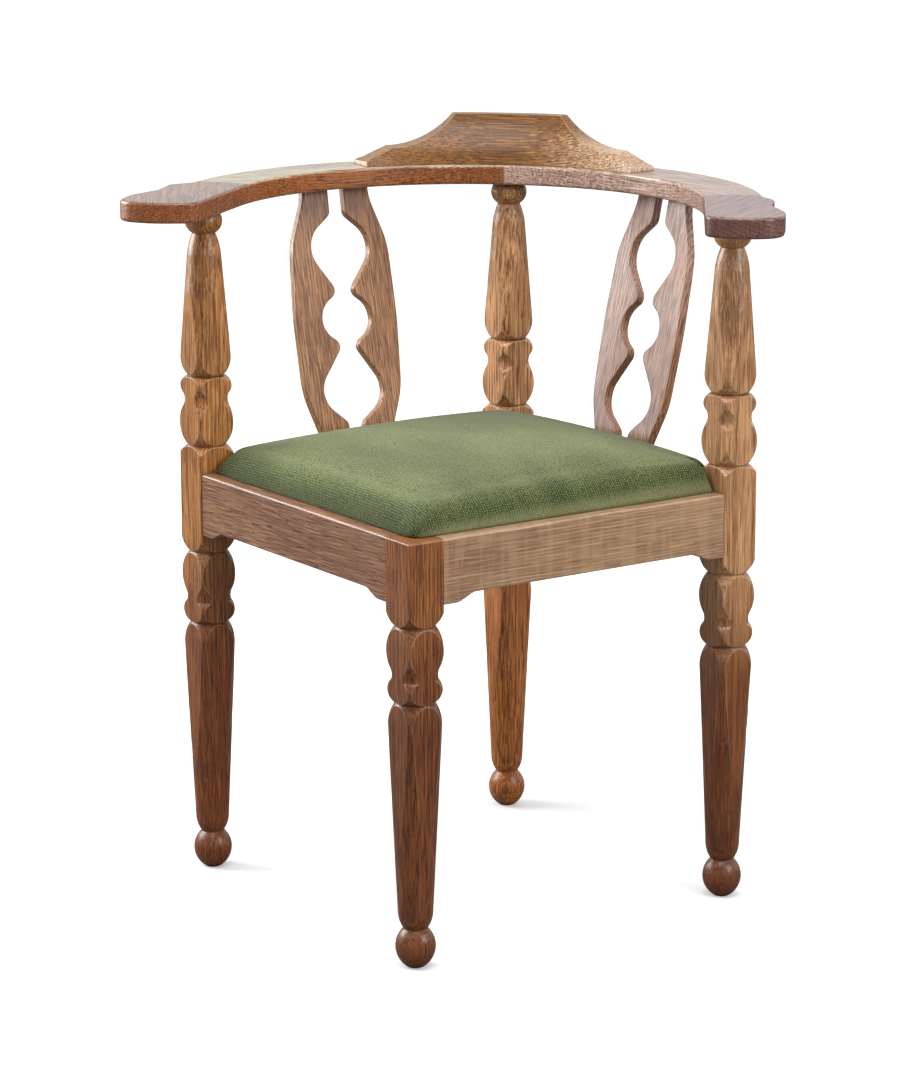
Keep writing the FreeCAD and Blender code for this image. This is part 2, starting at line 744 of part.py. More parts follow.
def make_block_body(leg_label):
    across, ahead, angle = CORNERS[leg_label]
    label = leg_label.split("_")[0] + "_corner_block"
    body = new_body(label + "_body")
    plan = sketch_on(body, label + "_plan", "XY", lift="block_z")
    outline(plan, [
        ("block_clear", "rail_inset"), ("block_end", "rail_inset"), ("block_end", "block_corner"),
        ("block_corner", "block_end"), ("rail_inset", "block_end"), ("rail_inset", "block_clear"),
        ("block_clear", "block_clear"),
    ])
    pad(body, label + "_board", plan, "block_tall")
    stand(body, across, ahead, angle)
    return label, body


def screw_places(leg_label):
    """Head centre and direction of the two screws of a corner block."""
    angle = CORNERS[leg_label][2]
    frame = Placement(V(size(CORNERS[leg_label][0]), size(CORNERS[leg_label][1]), 0), Rotation(UP, angle))
    along, height = size("screw_x"), size("screw_z")
    seat = size("rail_inset") + size("screw_cover")
    for spot, way in ((V(along, seat, height), V(0, -1, 0)), (V(seat, along, height), V(-1, 0, 0))):
        yield frame.multVec(spot), frame.Rotation.multVec(way)


def make_screw(name, spot, way):
    """A countersunk screw whose head top lies at spot, and the bore that clears its head."""
    shank = cylinder(name + "_shank", "screw_radius", "screw_length", spot, way)
    head = doc.addObject("Part::Cone", name + "_head")
    bind(head, "Radius1", "screw_head_radius")
    bind(head, "Radius2", "screw_radius")
    bind(head, "Height", "screw_head_tall")
    head.Placement = shank.Placement
    bore = cylinder(name + "_bore", "screw_bore_radius", "block_end", spot, way * -1)
    return joined(name, [shank, head]), bore


screws, blocks = [], {}
rail_screws = {name: [] for name in RAIL_LABELS}
for leg_label in LEG_LABELS:
    block_label, block_body = make_block_body(leg_label)
    tools = []
    for number, (spot, way) in enumerate(screw_places(leg_label), start=1):
        screw, bore = make_screw(f"{leg_label}_screw_{number}", spot, way)
        screws.append(screw)
        tools += [screw, bore]
        for rail_label, (across, ahead, angle) in SIDES.items():
            outward = V(size(across), size(ahead), 0).normalize()
            if outward.dot(way) > 0.9:
                rail_screws[rail_label].append(screw)
    blocks[block_label] = cut(block_label, block_body, tools)


# Slats, in a frame whose X runs across a pair and whose Y climbs the slope

PAIRS = {"left": (-1, 45.0), "right": (1, -45.0)}


def slat_frame(side, angle):
    outward = Rotation(UP, angle).multVec(V(0, 1, 0))
    along = Rotation(UP, angle).multVec(V(-side, 0, 0))
    foot = outward * size("slat_foot_reach") + along * size("slat_pair_shift") + V(0, 0, size("seat_top"))
    lean = Rotation(V(1, 0, 0), 90 - size("slat_lean"))
    tilt = Rotation(UP, side * size("slat_tilt"))
    return Placement(foot, Rotation(UP, angle) * lean * tilt)


def make_slat(label, hand, frame):
    """One slat and its two stub tenons; hand is the sign of its side of the pair."""
    sign = "" if hand > 0 else "-"
    body = new_body(label + "_body")
    face = sketch_on(body, label + "_face", "XY")
    wave = [
        ("slat_slot", "-slat_spare", None),
        ("slat_slot", "slat_slot_foot", "slat_slot_round"),
        ("bowl_low_across", "bowl_low_up", "bowl_low_round"),
        ("nose_across", "nose_low_up", "nose_round"),
        ("bowl_mid_across", "bowl_mid_up", "bowl_mid_round"),
        ("nose_across", "nose_high_up", "nose_round"),
        ("bowl_high_across", "bowl_high_up", "bowl_high_round"),
        ("slat_slot", "slat_slot_head", "slat_slot_round"),
        ("slat_slot", "slat_head", None),
        ("slat_neck_across", "slat_head", None),
        ("slat_neck_across", "slat_neck_up", "slat_neck_round"),
        ("slat_shoulder_across", "slat_shoulder_up", "slat_shoulder_round"),
        ("slat_belly_across", "slat_belly_up", "slat_belly_round"),
        ("slat_hip_across", "slat_hip_up", "slat_hip_round"),
        ("slat_foot_low_across", "-slat_spare", None),
    ]
    rounded(face, [(sign + x, y, r) for x, y, r in wave])
    pad(body, label + "_board", face, "slat_thick", midplane=True)
    half, low, high = size("slat_thick") / 2, -size("slat_spare"), size("slat_head")

    def long_edge(edge):
        box = edge.BoundBox
        flat = box.ZLength < 0.01 and abs(abs(box.ZMin) - half) < 0.01
        return flat and box.YMax > low + 0.1 and box.YMin < high - 0.1

    round_edges(body, label + "_edges", "slat_edge_round", long_edge)
    body.Placement = frame
    trimmed = doc.addObject("Part::Common", label + "_trimmed")
    trimmed.Base = body
    trimmed.Tool = slat_room
    stubs = []
    for end, across, up in (("foot", "stub_foot_x", -size("stub_depth")),
                            ("head", "stub_head_x", size("slat_length") - size("stub_root"))):
        stub = doc.addObject("Part::Box", f"{label}_{end}_stub")
        bind(stub, "Length", "stub_wide")
        bind(stub, "Width", "stub_length")
        bind(stub, "Height", "stub_thick")
        corner = V(hand * size(across) - size("stub_wide") / 2, up, -size("stub_thick") / 2)
        stub.Placement = frame * Placement(corner, Rotation())
        stubs.append(stub)
    slat = joined(label + "_whole", [trimmed] + stubs)
    return slat, stubs


slat_room = doc.addObject("Part::Box", "slat_room")
bind(slat_room, "Length", "room_wide")
bind(slat_room, "Width", "room_wide")
bind(slat_room, "Height", "slat_rise")
slat_room.Placement.Base = V(-size("room_wide") / 2, -size("room_wide") / 2, size("seat_top"))
slat_room.setExpression(".Placement.Base.z", "Sizes.seat_top")

slats, foot_stubs, head_stubs = {}, {}, {}
for pair, (side, angle) in PAIRS.items():
    frame = slat_frame(side, angle)
    foot_stubs[pair], head_stubs[pair] = [], []
    for place, hand in (("inner", -side), ("outer", side)):
        label = f"{pair}_{place}_slat"
        slat, (foot, head) = make_slat(label, hand, frame)
        slats[label] = slat
        foot_stubs[pair].append(foot)
        head_stubs[pair].append(head)

for label in RAIL_LABELS:
    tools = list(rail_screws[label])
    if label.startswith("back"):
        tools += foot_stubs[label.split("_")[1]]
    keep(cut(label + "_whole", make_rail_body(label, *SIDES[label]), tools), label)
for label, block in blocks.items():
    keep(block, label)
screw_set = doc.addObject("Part::Compound", "screw_set")
screw_set.Links = screws
keep(screw_set, "block_screws")


# Arm: two arcs that meet at the back, and a hand piece on each

ARM_SIDES = {"left": (-1, 90.0), "right": (1, 90.0 - size("arm_joint_angle"))}


def dowel_pair(name, angle):
    """Two bars across an arm joint, which lies at an angle from the back."""
    along = around(1, angle + 90, 0)
    middle = size("arm_dowel_length") / 2
    pair = []
    for number, sign in enumerate((-1, 1), start=1):
        spot = around(size("arm_centre") + sign * size("arm_dowel_spread"), angle, size("arm_mid"))
        bar = cylinder(f"{name}_{number}", "arm_dowel_radius", "arm_dowel_length", spot - along * middle, along)
        pair.append(bar)
    return pair


def crest_dowels(pair, side):
    bars = []
    for place in ("inner", "outer"):
        spot = around(size("crest_dowel_reach"), side * size(f"crest_dowel_{place}_angle"), size("crest_dowel_z"))
        bars.append(cylinder(f"{pair}_crest_dowel_{place}", "crest_dowel_radius", "crest_dowel_length", spot, UP))
    return bars


def post_socket(name, angle):
    """The round mortise for the tenon on top of a post."""
    spot = around(size("leg_reach"), angle, size("arm_under"))
    return cylinder(name, "post_tenon_radius", "post_socket_depth", spot, UP)


def make_arc_body(label, start_angle):
    body = new_body(label + "_body")
    section = sketch_on(body, label + "_section", "XZ")
    corner = "arm_edge_round"
    rounded(section, [
        ("arm_inner", "arm_under", corner), ("arm_outer", "arm_under", corner),
        ("arm_outer", "arm_top", corner), ("arm_inner", "arm_top", corner),
    ])
    sweep = body.newObject("PartDesign::Revolution", label + "_sweep")
    sweep.Profile = section
    sweep.ReferenceAxis = (section, ["V_Axis"])
    bind(sweep, "Angle", "arm_joint_angle")
    body.Placement = Placement(V(), Rotation(UP, start_angle))
    return body


def make_hand_body(label, side):
    sign, hand = ("", "right_") if side > 0 else ("-", "left_")
    body = new_body(label + "_body")
    plan = sketch_on(body, label + "_plan", "XY", lift="arm_under")
    corners = [
        ("joint_inner_x", "joint_inner_y", None),
        ("blend_x", "blend_y", "arm_inner"),
        ("heel_across", "-heel_ahead", "heel_round"),
        (hand + "brow_across", "-brow_ahead", "brow_round"),
        (hand + "tip_across", "-tip_ahead", "tip_round"),
        (hand + "side_across", "-side_ahead", "side_round"),
        (hand + "notch_across", "-notch_ahead", "notch_round"),
        (hand + "ear_across", "ear_behind", "ear_round"),
        ("flare_x", "flare_y", "flare_round"),
        ("joint_outer_x", "joint_outer_y", None),
    ]
    rounded(plan, [(sign + x, y, r) for x, y, r in corners])
    pad(body, label + "_board", plan, "arm_thick")
    joint = around(1, side * (size("arm_joint_angle") + 90), 0)

    def rim(edge):
        box = edge.BoundBox
        if box.ZLength > 0.01:
            return False
        ends = [vertex.Point for vertex in edge.Vertexes]
        return not all(abs(joint.dot(end)) < 0.01 for end in ends)

    round_edges(body, label + "_edges", "arm_edge_round", rim)
    return body


joint_dowels = {"back": dowel_pair("back_joint_dowel", 0.0)}
crest_bars = []
arms = {}
for pair, (side, start_angle) in ARM_SIDES.items():
    joint_dowels[pair] = dowel_pair(f"{pair}_joint_dowel", side * size("arm_joint_angle"))
    bars = crest_dowels(pair, side)
    crest_bars += bars
    hand = make_hand_body(f"{pair}_arm_hand", side)
    hand_tools = joint_dowels[pair] + [post_socket(f"{pair}_post_socket", side * 90.0)]
    arms[f"{pair}_arm_hand"] = cut(f"{pair}_arm_hand_whole", hand, hand_tools)
    arc = make_arc_body(f"{pair}_arm_arc", start_angle)
    arc_tools = joint_dowels[pair] + joint_dowels["back"] + bars + head_stubs[pair]
    arc_tools.append(post_socket(f"{pair}_back_socket", 0.0))
    arms[f"{pair}_arm_arc"] = cut(f"{pair}_arm_arc_whole", arc, arc_tools)
for label, arm in arms.items():
    keep(arm, label)
dowel_set = doc.addObject("Part::Compound", "dowel_set")
dowel_set.Links = [bar for bars in joint_dowels.values() for bar in bars]
keep(dowel_set, "arm_dowels")


# Crest block: a bent block with a hollow front, its outline sawn along two radial directions

crest_body = new_body("crest_body")
crest_section = sketch_on(crest_body, "crest_section", "XZ")
outline(crest_section, [
    ("crest_inner", "arm_top"), ("crest_outer", "arm_top"), ("crest_outer", "crest_top"),
    ("crest_top_inner", "crest_top"), ("crest_ledge_reach", "crest_ledge_height"),
    [("crest_hollow_reach", "crest_hollow_height"), ("crest_face_reach", "crest_face_height")],
])
crest_sweep = crest_body.newObject("PartDesign::Revolution", "crest_sweep")
crest_sweep.Profile = crest_section
crest_sweep.ReferenceAxis = (crest_section, ["V_Axis"])
bind(crest_sweep, "Angle", "crest_span")
crest_sweep.Midplane = True
doc.recompute()
for side, name in ((-1, "crest_saw_right"), (1, "crest_saw_left")):
    sign, other = ("", "-") if side > 0 else ("-", "")
    saw = sketch_on(crest_body, name, "YZ", turn=side * size("crest_cut_angle"))
    outline(saw, [
        (sign + "crest_clear_across", "crest_end_height"), (sign + "crest_end_across", "crest_end_height"),
        (sign + "crest_knee_across", "crest_knee_height"),
        [(other + "crest_scoop_across", "crest_scoop_height"), (other + "crest_top_across", "crest_top")],
        (other + "crest_top_across", "crest_clear_height"), (sign + "crest_clear_across", "crest_clear_height"),
    ])
    pocket(crest_body, name + "_cut", saw, "arm_outer", reverse=True)
crest_edge = size("crest_top") - 0.1
round_edges(crest_body, "crest_top_round", "crest_edge_round", lambda e: e.BoundBox.ZMin > crest_edge)
crest_body.Placement = Placement(V(), Rotation(UP, 90))
keep(cut("crest_whole", crest_body, crest_bars), "crest_block")
crest_dowel_set = doc.addObject("Part::Compound", "crest_dowel_set")
crest_dowel_set.Links = crest_bars
keep(crest_dowel_set, "crest_dowels")
for label, slat in slats.items():
    keep(slat, label)


# Drop-in seat, in a frame whose X and Y run along the rails

SEAT_TURN = Placement(V(), Rotation(UP, 45))


def notched_plan(name, half, notch, bottom, tall):
    """A square slab with a square bite at each corner, for the legs."""
    body = new_body(name + "_body")
    plan = sketch_on(body, name + "_plan", "XY", lift=bottom)
    path = []
    for x_sign, y_sign, swap in (("", "", False), ("-", "", True), ("-", "-", False), ("", "-", True)):
        bite = [
            (x_sign + half, y_sign + notch), (x_sign + notch, y_sign + notch), (x_sign + notch, y_sign + half),
        ]
        path += bite[::-1] if swap else bite
    outline(plan, path)
    pad(body, name + "_slab", plan, tall)
    body.Placement = SEAT_TURN
    return body


def cushion_form(layer, bottom, notch):
    """A pad whose vault falls the same way to all four sides, notched for the three posts."""
    side, turn, middle = layer + "_side", layer + "_turn", layer + "_mid"
    body = new_body(layer + "_sides")
    plan = sketch_on(body, layer + "_plan", "XY", lift=bottom)
    rounded(plan, [
        (side, notch, None), (notch, notch, None), (notch, side, None),
        ("-" + notch, side, None), ("-" + notch, notch, None), ("-" + side, notch, None),
        ("-" + side, "-" + side, layer + "_corner_round"),
        (notch, "-" + side, None), (notch, "-" + notch, None), (side, "-" + notch, None),
    ])
    pad(body, layer + "_block", plan, "pad_tall")
    body.Placement = SEAT_TURN
    form = body
    for number, angle in enumerate((45, 135), start=1):
        vault = new_body(f"{layer}_vault_{number}_body")
        profile = sketch_on(vault, f"{layer}_vault_{number}_profile", "XZ")
        outline(profile, [
            ("-" + side, bottom), (side, bottom), (side, "pad_bend_height"),
            [(middle + "_across", middle + "_height"), (turn + "_across", turn + "_height")],
            [(ZERO, layer + "_crown"), ("-" + turn + "_across", turn + "_height")],
            [("-" + middle + "_across", middle + "_height"), ("-" + side, "pad_bend_height")],
        ])
        pad(vault, f"{layer}_vault_{number}", profile, "pad_run", midplane=True)
        vault.Placement = Placement(V(), Rotation(UP, angle))
        under = doc.addObject("Part::Common", f"{layer}_under_vault_{number}")
        under.Base = form
        under.Tool = vault
        form = under
    return form


board = notched_plan("seat_board", "board_half", "board_notch", "board_z", "board_thick")
keep(board, "seat_board")
foam_pad = cushion_form("foam", "cover_foot_top", "board_notch")
foam_foot = notched_plan("foam_foot", "board_half", "board_notch", "board_top", "foam_foot_tall")
foam = keep(joined("foam_whole", [foam_pad, foam_foot]), "seat_foam")
cover_pad = cushion_form("cover", "skirt_top", "skirt_notch")
skirt = notched_plan("cover_skirt", "skirt_half", "skirt_notch", "seat_z", "skirt_tall")
inside = notched_plan("cover_inside", "board_half", "board_notch", "board_z", "cover_inside_tall")
window = notched_plan("cover_window", "turn_half", "turn_notch", "seat_z", "skirt_tall")
cover = joined("cover_solid", [cover_pad, skirt])
cover = cut("cover_hollowed", cover, [foam])
cover = cut("cover_emptied", cover, [inside])
keep(cut("cover_whole", cover, [window]), "seat_cover")


# Check every object, then write one file per piece

doc.recompute()
for item in doc.Objects:
    if "Invalid" in item.State or "Error" in item.State:
        raise RuntimeError(f"{item.Name} failed: {item.State}")
for item in PARTS:
    if item.Shape.isNull() or not item.Shape.isValid() or not item.Shape.Solids:
        raise RuntimeError(item.Label + " has no valid solid")
os.makedirs("parts", exist_ok=True)
for item in PARTS:
    item.Shape.exportStep(f"parts/{item.Label}.step")
    print(item.Label, len(item.Shape.Solids), round(item.Shape.Volume), item.Shape.BoundBox)
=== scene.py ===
import math

import bmesh
import bpy
from mathutils import Matrix, Vector


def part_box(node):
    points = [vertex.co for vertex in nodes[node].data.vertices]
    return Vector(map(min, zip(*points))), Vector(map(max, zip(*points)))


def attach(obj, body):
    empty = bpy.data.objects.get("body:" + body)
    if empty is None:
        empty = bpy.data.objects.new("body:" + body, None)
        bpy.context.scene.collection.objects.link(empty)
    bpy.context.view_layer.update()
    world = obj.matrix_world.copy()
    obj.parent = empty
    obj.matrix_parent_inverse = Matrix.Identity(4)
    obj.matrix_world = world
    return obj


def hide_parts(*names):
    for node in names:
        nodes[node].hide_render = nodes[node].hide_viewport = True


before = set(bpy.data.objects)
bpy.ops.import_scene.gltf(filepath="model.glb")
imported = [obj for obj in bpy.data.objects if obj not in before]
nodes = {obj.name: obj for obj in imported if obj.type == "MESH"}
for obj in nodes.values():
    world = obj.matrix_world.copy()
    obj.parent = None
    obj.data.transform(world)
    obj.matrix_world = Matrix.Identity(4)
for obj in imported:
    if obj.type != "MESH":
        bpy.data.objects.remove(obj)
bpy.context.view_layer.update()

# Corner chair in oak with a green drop-in seat. Metres, in the frame of the
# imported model: the front leg stands at -Y, +Z is up.

scene = bpy.context.scene

MM = 0.001
RIGHTWARD, BACKWARD, UPRIGHT = (1, 0, 0), (0, 1, 0), (0, 0, 1)


def ease(share):
    """A share held between 0 and 1 that starts and ends softly."""
    share = min(1.0, max(0.0, share))
    return share * share * (3 - 2 * share)


# Node graphs and colours

class Graph:
    """Adds nodes to a material or to the world, and returns their outputs."""

    def __init__(self, owner):
        owner.use_nodes = True
        self.owner = owner
        self.tree = owner.node_tree

    def put(self, socket, value):
        if isinstance(value, bpy.types.NodeSocket):
            self.tree.links.new(value, socket)
        else:
            socket.default_value = value

    def add(self, kind, inputs=None, output=0, **settings):
        node = self.tree.nodes.new(kind)
        for key, value in settings.items():
            setattr(node, key, value)
        for key, value in (inputs or {}).items():
            self.put(node.inputs[key], value)
        return node.outputs[output]

    def math(self, operation, a, b=0.0, c=0.0):
        return self.add("ShaderNodeMath", {0: a, 1: b, 2: c}, operation=operation)

    def plus(self, a, b):
        return self.math("ADD", a, b)

    def less(self, a, b):
        return self.math("SUBTRACT", a, b)

    def times(self, a, b):
        return self.math("MULTIPLY", a, b)

    def larger(self, a, b):
        return self.math("MAXIMUM", a, b)

    def size_of(self, a):
        return self.math("ABSOLUTE", a)

    def scaled(self, vector, factors):
        return self.add("ShaderNodeVectorMath", {0: vector, 1: factors}, operation="MULTIPLY")

    def shifted(self, vector, offset):
        return self.add("ShaderNodeVectorMath", {0: vector, 1: offset}, operation="ADD")

    def dot(self, a, b):
        return self.add("ShaderNodeVectorMath", {0: a, 1: b}, "Value", operation="DOT_PRODUCT")

    def axes(self, vector):
        return tuple(self.add("ShaderNodeSeparateXYZ", {0: vector}).node.outputs)

    def place(self):
        """Position in the object's own frame, which is the chair's."""
        return self.add("ShaderNodeTexCoord", output="Object")

    def noise(self, vector, scale, detail=2.0, roughness=0.5, distortion=0.0):
        return self.add("ShaderNodeTexNoise", {
            "Vector": vector, "Scale": scale, "Detail": detail,
            "Roughness": roughness, "Distortion": distortion,
        })

    def ramp(self, value, low, high, to_low=0.0, to_high=1.0):
        return self.add("ShaderNodeMapRange", {
            "Value": value, "From Min": low, "From Max": high,
            "To Min": to_low, "To Max": to_high,
        }, interpolation_type="SMOOTHSTEP", clamp=True)

    def mix(self, factor, a, b, blend="MIX"):
        # The node has a set of sockets for each kind of data: 6, 7 and 2 are those of colours
        node = self.tree.nodes.new("ShaderNodeMix")
        node.data_type = "RGBA"
        node.blend_type = blend
        self.put(node.inputs[0], factor)
        self.put(node.inputs[6], a)
        self.put(node.inputs[7], b)
        return node.outputs[2]

    def tinted(self, base, shares):
        return self.mix(1.0, base, (*shares, 1.0), "MULTIPLY")

    def bump(self, height, strength, distance, normal=None):
        inputs = {"Height": height, "Strength": strength, "Distance": distance}
        if normal:
            inputs["Normal"] = normal
        return self.add("ShaderNodeBump", inputs)

    def surface(self, inputs):
        shader = self.add("ShaderNodeBsdfPrincipled", inputs)
        out = self.tree.nodes.new("ShaderNodeOutputMaterial")
        self.tree.links.new(shader, out.inputs["Surface"])
        return self.owner


def new_material(name):
    graph = Graph(bpy.data.materials.new(name))
    graph.tree.nodes.clear()
    return graph


def colour(red, green, blue):
    """The linear colour, with its alpha, of the 0 to 255 values of a picture."""
    def linear(value):
        value = value / 255
        return value / 12.92 if value <= 0.04045 else ((value + 0.055) / 1.055) ** 2.4
    return (linear(red), linear(green), linear(blue), 1.0)


def shaded(tone, shares):
    """A linear colour with each of its channels multiplied by a share."""
    return tuple(a * b for a, b in zip(tone, (*shares, 1.0)))


# Oak. Each layer of its figure is a noise: its stretch across the board's face, through the
# board and along the grain, then scale, detail, roughness and distortion.

OAK_NOISE = {
    "wander": ((1.0, 1.0, 0.12), 14.0, 2.0, 0.5, 0.0),
    "cloud": ((1.0, 1.0, 0.25), 22.0, 3.0, 0.55, 0.0),
    "band": ((1.0, 1.0, 0.04), 110.0, 2.0, 0.5, 0.0),
    "stain": ((1.0, 1.0, 0.30), 11.0, 2.0, 0.5, 0.6),
    "streak": ((1.0, 1.0, 0.025), 560.0, 2.0, 0.6, 0.0),
    "line": ((1.0, 1.0, 0.030), 690.0, 1.0, 0.5, 0.0),
    "dash": ((1.0, 1.0, 0.050), 760.0, 1.0, 0.5, 0.0),
    "ray": ((0.25, 0.5, 1.5), 115.0, 2.0, 0.5, 0.8),
    "cross_mark": ((0.30, 0.18, 1.0), 520.0, 1.5, 0.5, 0.0),
    "curl": ((0.12, 0.4, 1.0), 75.0, 2.0, 0.5, 1.2),
}
# The range of the noise in which a layer fades in, and the least and most that it then shows
OAK_FADE = {
    "cloud": (0.34, 0.66, 0.1, 0.8), "band": (0.46, 0.68, 0.0, 0.28),
    "stain": (0.44, 0.64, 0.0, 0.9), "streak": (0.50, 0.60, 0.0, 0.85),
    "line": (0.56, 0.60, 0.0, 0.90), "dash": (0.545, 0.59, 0.0, 1.0),
    "ray": (0.52, 0.68, 0.0, 1.0), "cross_mark": (0.50, 0.66, 0.0, 1.0),
    "curl": (0.46, 0.62, 0.0, 1.0),
}
# Shares of the middle tone in the dark, the light and the deepest wood, and left by the stain
DARK_SHARE, LIGHT_SHARE = (0.50, 0.41, 0.32), (1.60, 1.78, 1.90)
DEEP_SHARE, STAIN_SHARE = (0.22, 0.16, 0.11), (0.74, 0.68, 0.70)
# How far one step of the seed moves a piece through the noise
SEED_STEP = (0.37, 0.61, 1.3)
# Where the porous early wood begins and ends in a ring, as shares of it, and how dark it is
EARLY_BEGIN, EARLY_END, EARLY_STRENGTH = (0.0, 0.22), (0.75, 0.35), 0.38
# The share of the dashes, which are the pores, in late wood, and how dark and deep they are
LATE_PORES, DASH_STRENGTH, DASH_DEPTH, STREAK_DEPTH = 0.5, 0.80, 0.8, 0.45
# Height of the nested arches on a post, and how far the pith line leans over and under it
ARCH_HEIGHT, ARCH_REACH = 0.62, 0.09
# Lean of the surface, as the height of its normal, between face-up and upright
LEVEL_TO_UPRIGHT = (0.8, 0.3)
# Where a painted sheen takes over: metres along X, and metres up with the least and the most
SHEEN_RUN, SHEEN_RISE = (0.0, 0.13), (0.762, 0.742, 0.15, 1.0)
# Heights between which the painted shade at the foot of a leg begins
FOOT_SHADE_RUN = (0.38, 0.22)
# Painted shade in hollows, and edges painted pale: a painted highlight and rubbed wear
HOLLOW_REACH, HOLLOW_SHADE_RANGE, HOLLOW_SHADE_STRENGTH = 6 * MM, (0.30, 0.85), 0.70
EDGE_RADIUS, EDGE_RANGE, EDGE_CLEAR, EDGE_STRENGTH = 1.5 * MM, (0.985, 0.92), (0.60, 0.90), 0.55
RUBBED_AND_GLINT = (222, 190, 152)
OAK_ROUGH, STREAK_ROUGH, RAY_GLOSS, WAX_ROUGH = 0.28, 0.18, 0.10, 0.20
OAK_RELIEF, OAK_RELIEF_STRENGTH = 0.25 * MM, 0.45


def wood_space(graph, along, face):
    """Position along three axes of a board: across its face, through it and along its grain."""
    place = graph.place()
    along = Vector(along).normalized()
    through = Vector(face)
    through = (through - along * through.dot(along)).normalized()
    across = along.cross(through)
    parts = [graph.dot(place, tuple(axis)) for axis in (across, through, along)]
    return graph.add("ShaderNodeCombineXYZ", dict(enumerate(parts)))


def oak(name, along, face, tone, seed, pith=(0.03, 0.09), ring=3.0 * MM, wander=18 * MM,
        slope=0.0, tilt=0.0, pores=1.0, fleck=0.25, hatch=0.0, curl=0.0, turned=None, top=None,
        foot=None, foot_run=FOOT_SHADE_RUN, coat=0.3):
    """Waxed oak: rings round a pith line beside the board, pores in the rings, rays across them.

    pith is where the pith line runs, across the face and through the board, ring the width of a
    ring, and wander how far the rings stray from round. slope turns the pith line in the face,
    and tilt leans it back at the arches' height, so that the rings show as nested arches. pores
    is the share of the dark bands, streaks and dashes. fleck is the strength of the broad rays,
    hatch that of the short fine ones on upright faces, and curl that of the waves across the
    grain. turned multiplies the tones where a painted sheen takes over, top those of the faces
    that look up, to paint sheen and shade on them, and foot those below the heights of
    foot_run, to paint shade there."""
    graph = new_material(name)
    middle = colour(*tone)
    dark, light, deep = (shaded(middle, shares)
                         for shares in (DARK_SHARE, LIGHT_SHARE, DEEP_SHARE))
    offset = tuple(seed * step for step in SEED_STEP)
    place = graph.shifted(wood_space(graph, along, face), offset)

    def noise(layer):
        stretch, *form = OAK_NOISE[layer]
        return graph.noise(graph.scaled(place, stretch), *form)

    def shown(layer, share=1.0, value=None):
        low, high, least, most = OAK_FADE[layer]
        return graph.ramp(value or noise(layer), low, high, least, most * share)

    across, through, length = graph.axes(place)
    away_x = graph.less(across, pith[0] + offset[0])
    away_x = graph.plus(away_x, graph.times(length, slope))
    away_y = graph.less(through, pith[1] + offset[1])
    if tilt:
        over = graph.less(length, ARCH_HEIGHT + offset[2])
        over = graph.larger(graph.math("MINIMUM", over, ARCH_REACH), -ARCH_REACH)
        away_y = graph.plus(away_y, graph.times(over, tilt))
    radius = graph.math("SQRT", graph.plus(graph.times(away_x, away_x),
                                           graph.times(away_y, away_y)))
    radius = graph.plus(radius, graph.times(noise("wander"), wander))
    phase = graph.math("FRACT", graph.math("DIVIDE", radius, ring))
    early = graph.times(graph.ramp(phase, *EARLY_BEGIN), graph.ramp(phase, *EARLY_END))

    true_normal = graph.add("ShaderNodeNewGeometry", output="True Normal")
    upright = graph.ramp(graph.size_of(graph.axes(true_normal)[2]), *LEVEL_TO_UPRIGHT)
    ray = shown("ray", fleck)
    if hatch:
        ray = graph.larger(ray, graph.times(shown("cross_mark"), graph.times(upright, hatch)))
    if curl:
        ray = graph.larger(ray, shown("curl", curl))

    # A painted sheen, along X and low down, where the tones are multiplied by turned
    if turned:
        run, _, rise = graph.axes(graph.place())
        share = graph.times(graph.ramp(run, *SHEEN_RUN), graph.ramp(rise, *SHEEN_RISE))
        dark, middle, light = (graph.mix(share, one, shaded(one, turned))
                               for one in (dark, middle, light))
    streak = noise("streak")
    dash = graph.times(shown("dash"), graph.math(
        "MULTIPLY_ADD", early, (1 - LATE_PORES) * pores, LATE_PORES * pores))
    base = graph.mix(shown("cloud"), middle, light)
    base = graph.mix(shown("band", pores), base, dark)
    base = graph.mix(shown("stain"), base, graph.tinted(base, STAIN_SHARE))
    base = graph.mix(shown("streak", pores, streak), base, dark)
    base = graph.mix(shown("line"), base, light)
    base = graph.mix(graph.times(early, EARLY_STRENGTH), base, dark)
    base = graph.mix(ray, base, light)
    base = graph.mix(graph.times(dash, DASH_STRENGTH), base, deep)
    # Painted sheen and shade on the faces that look up
    if top:
        base = graph.mix(upright, graph.tinted(base, top), base)
    # Painted shade low down, below the foot's heights
    if foot:
        rise = graph.axes(graph.place())[2]
        base = graph.mix(graph.ramp(rise, *foot_run), base, graph.tinted(base, foot))

    # Painted shade in hollows, darkest where they are most shut in
    openness = graph.add("ShaderNodeAmbientOcclusion", {"Distance": HOLLOW_REACH}, "AO",
                         samples=6)
    base = graph.mix(graph.ramp(openness, *HOLLOW_SHADE_RANGE),
                     graph.mix(HOLLOW_SHADE_STRENGTH, base, deep), base)
    # Edges painted pale away from hollows: a painted highlight and rubbed wear
    soft_normal = graph.add("ShaderNodeBevel", {"Radius": EDGE_RADIUS}, samples=4)
    bend = graph.dot(soft_normal, true_normal)
    wear_and_glint = graph.times(graph.ramp(bend, *EDGE_RANGE), graph.ramp(openness, *EDGE_CLEAR))
    base = graph.mix(graph.times(wear_and_glint, EDGE_STRENGTH), base, colour(*RUBBED_AND_GLINT))
    rough = graph.math("MULTIPLY_ADD", streak, STREAK_ROUGH, OAK_ROUGH)
    rough = graph.less(rough, graph.times(ray, RAY_GLOSS))
    height = graph.less(graph.times(streak, STREAK_DEPTH), graph.times(dash, DASH_DEPTH))
    return graph.surface({
        "Base Color": base, "Roughness": rough, "Coat Weight": coat, "Coat Roughness": WAX_ROUGH,
        "Normal": graph.bump(height, OAK_RELIEF_STRENGTH, OAK_RELIEF, soft_normal),
    })


# The cloth, the unfinished wood inside the seat and the screws

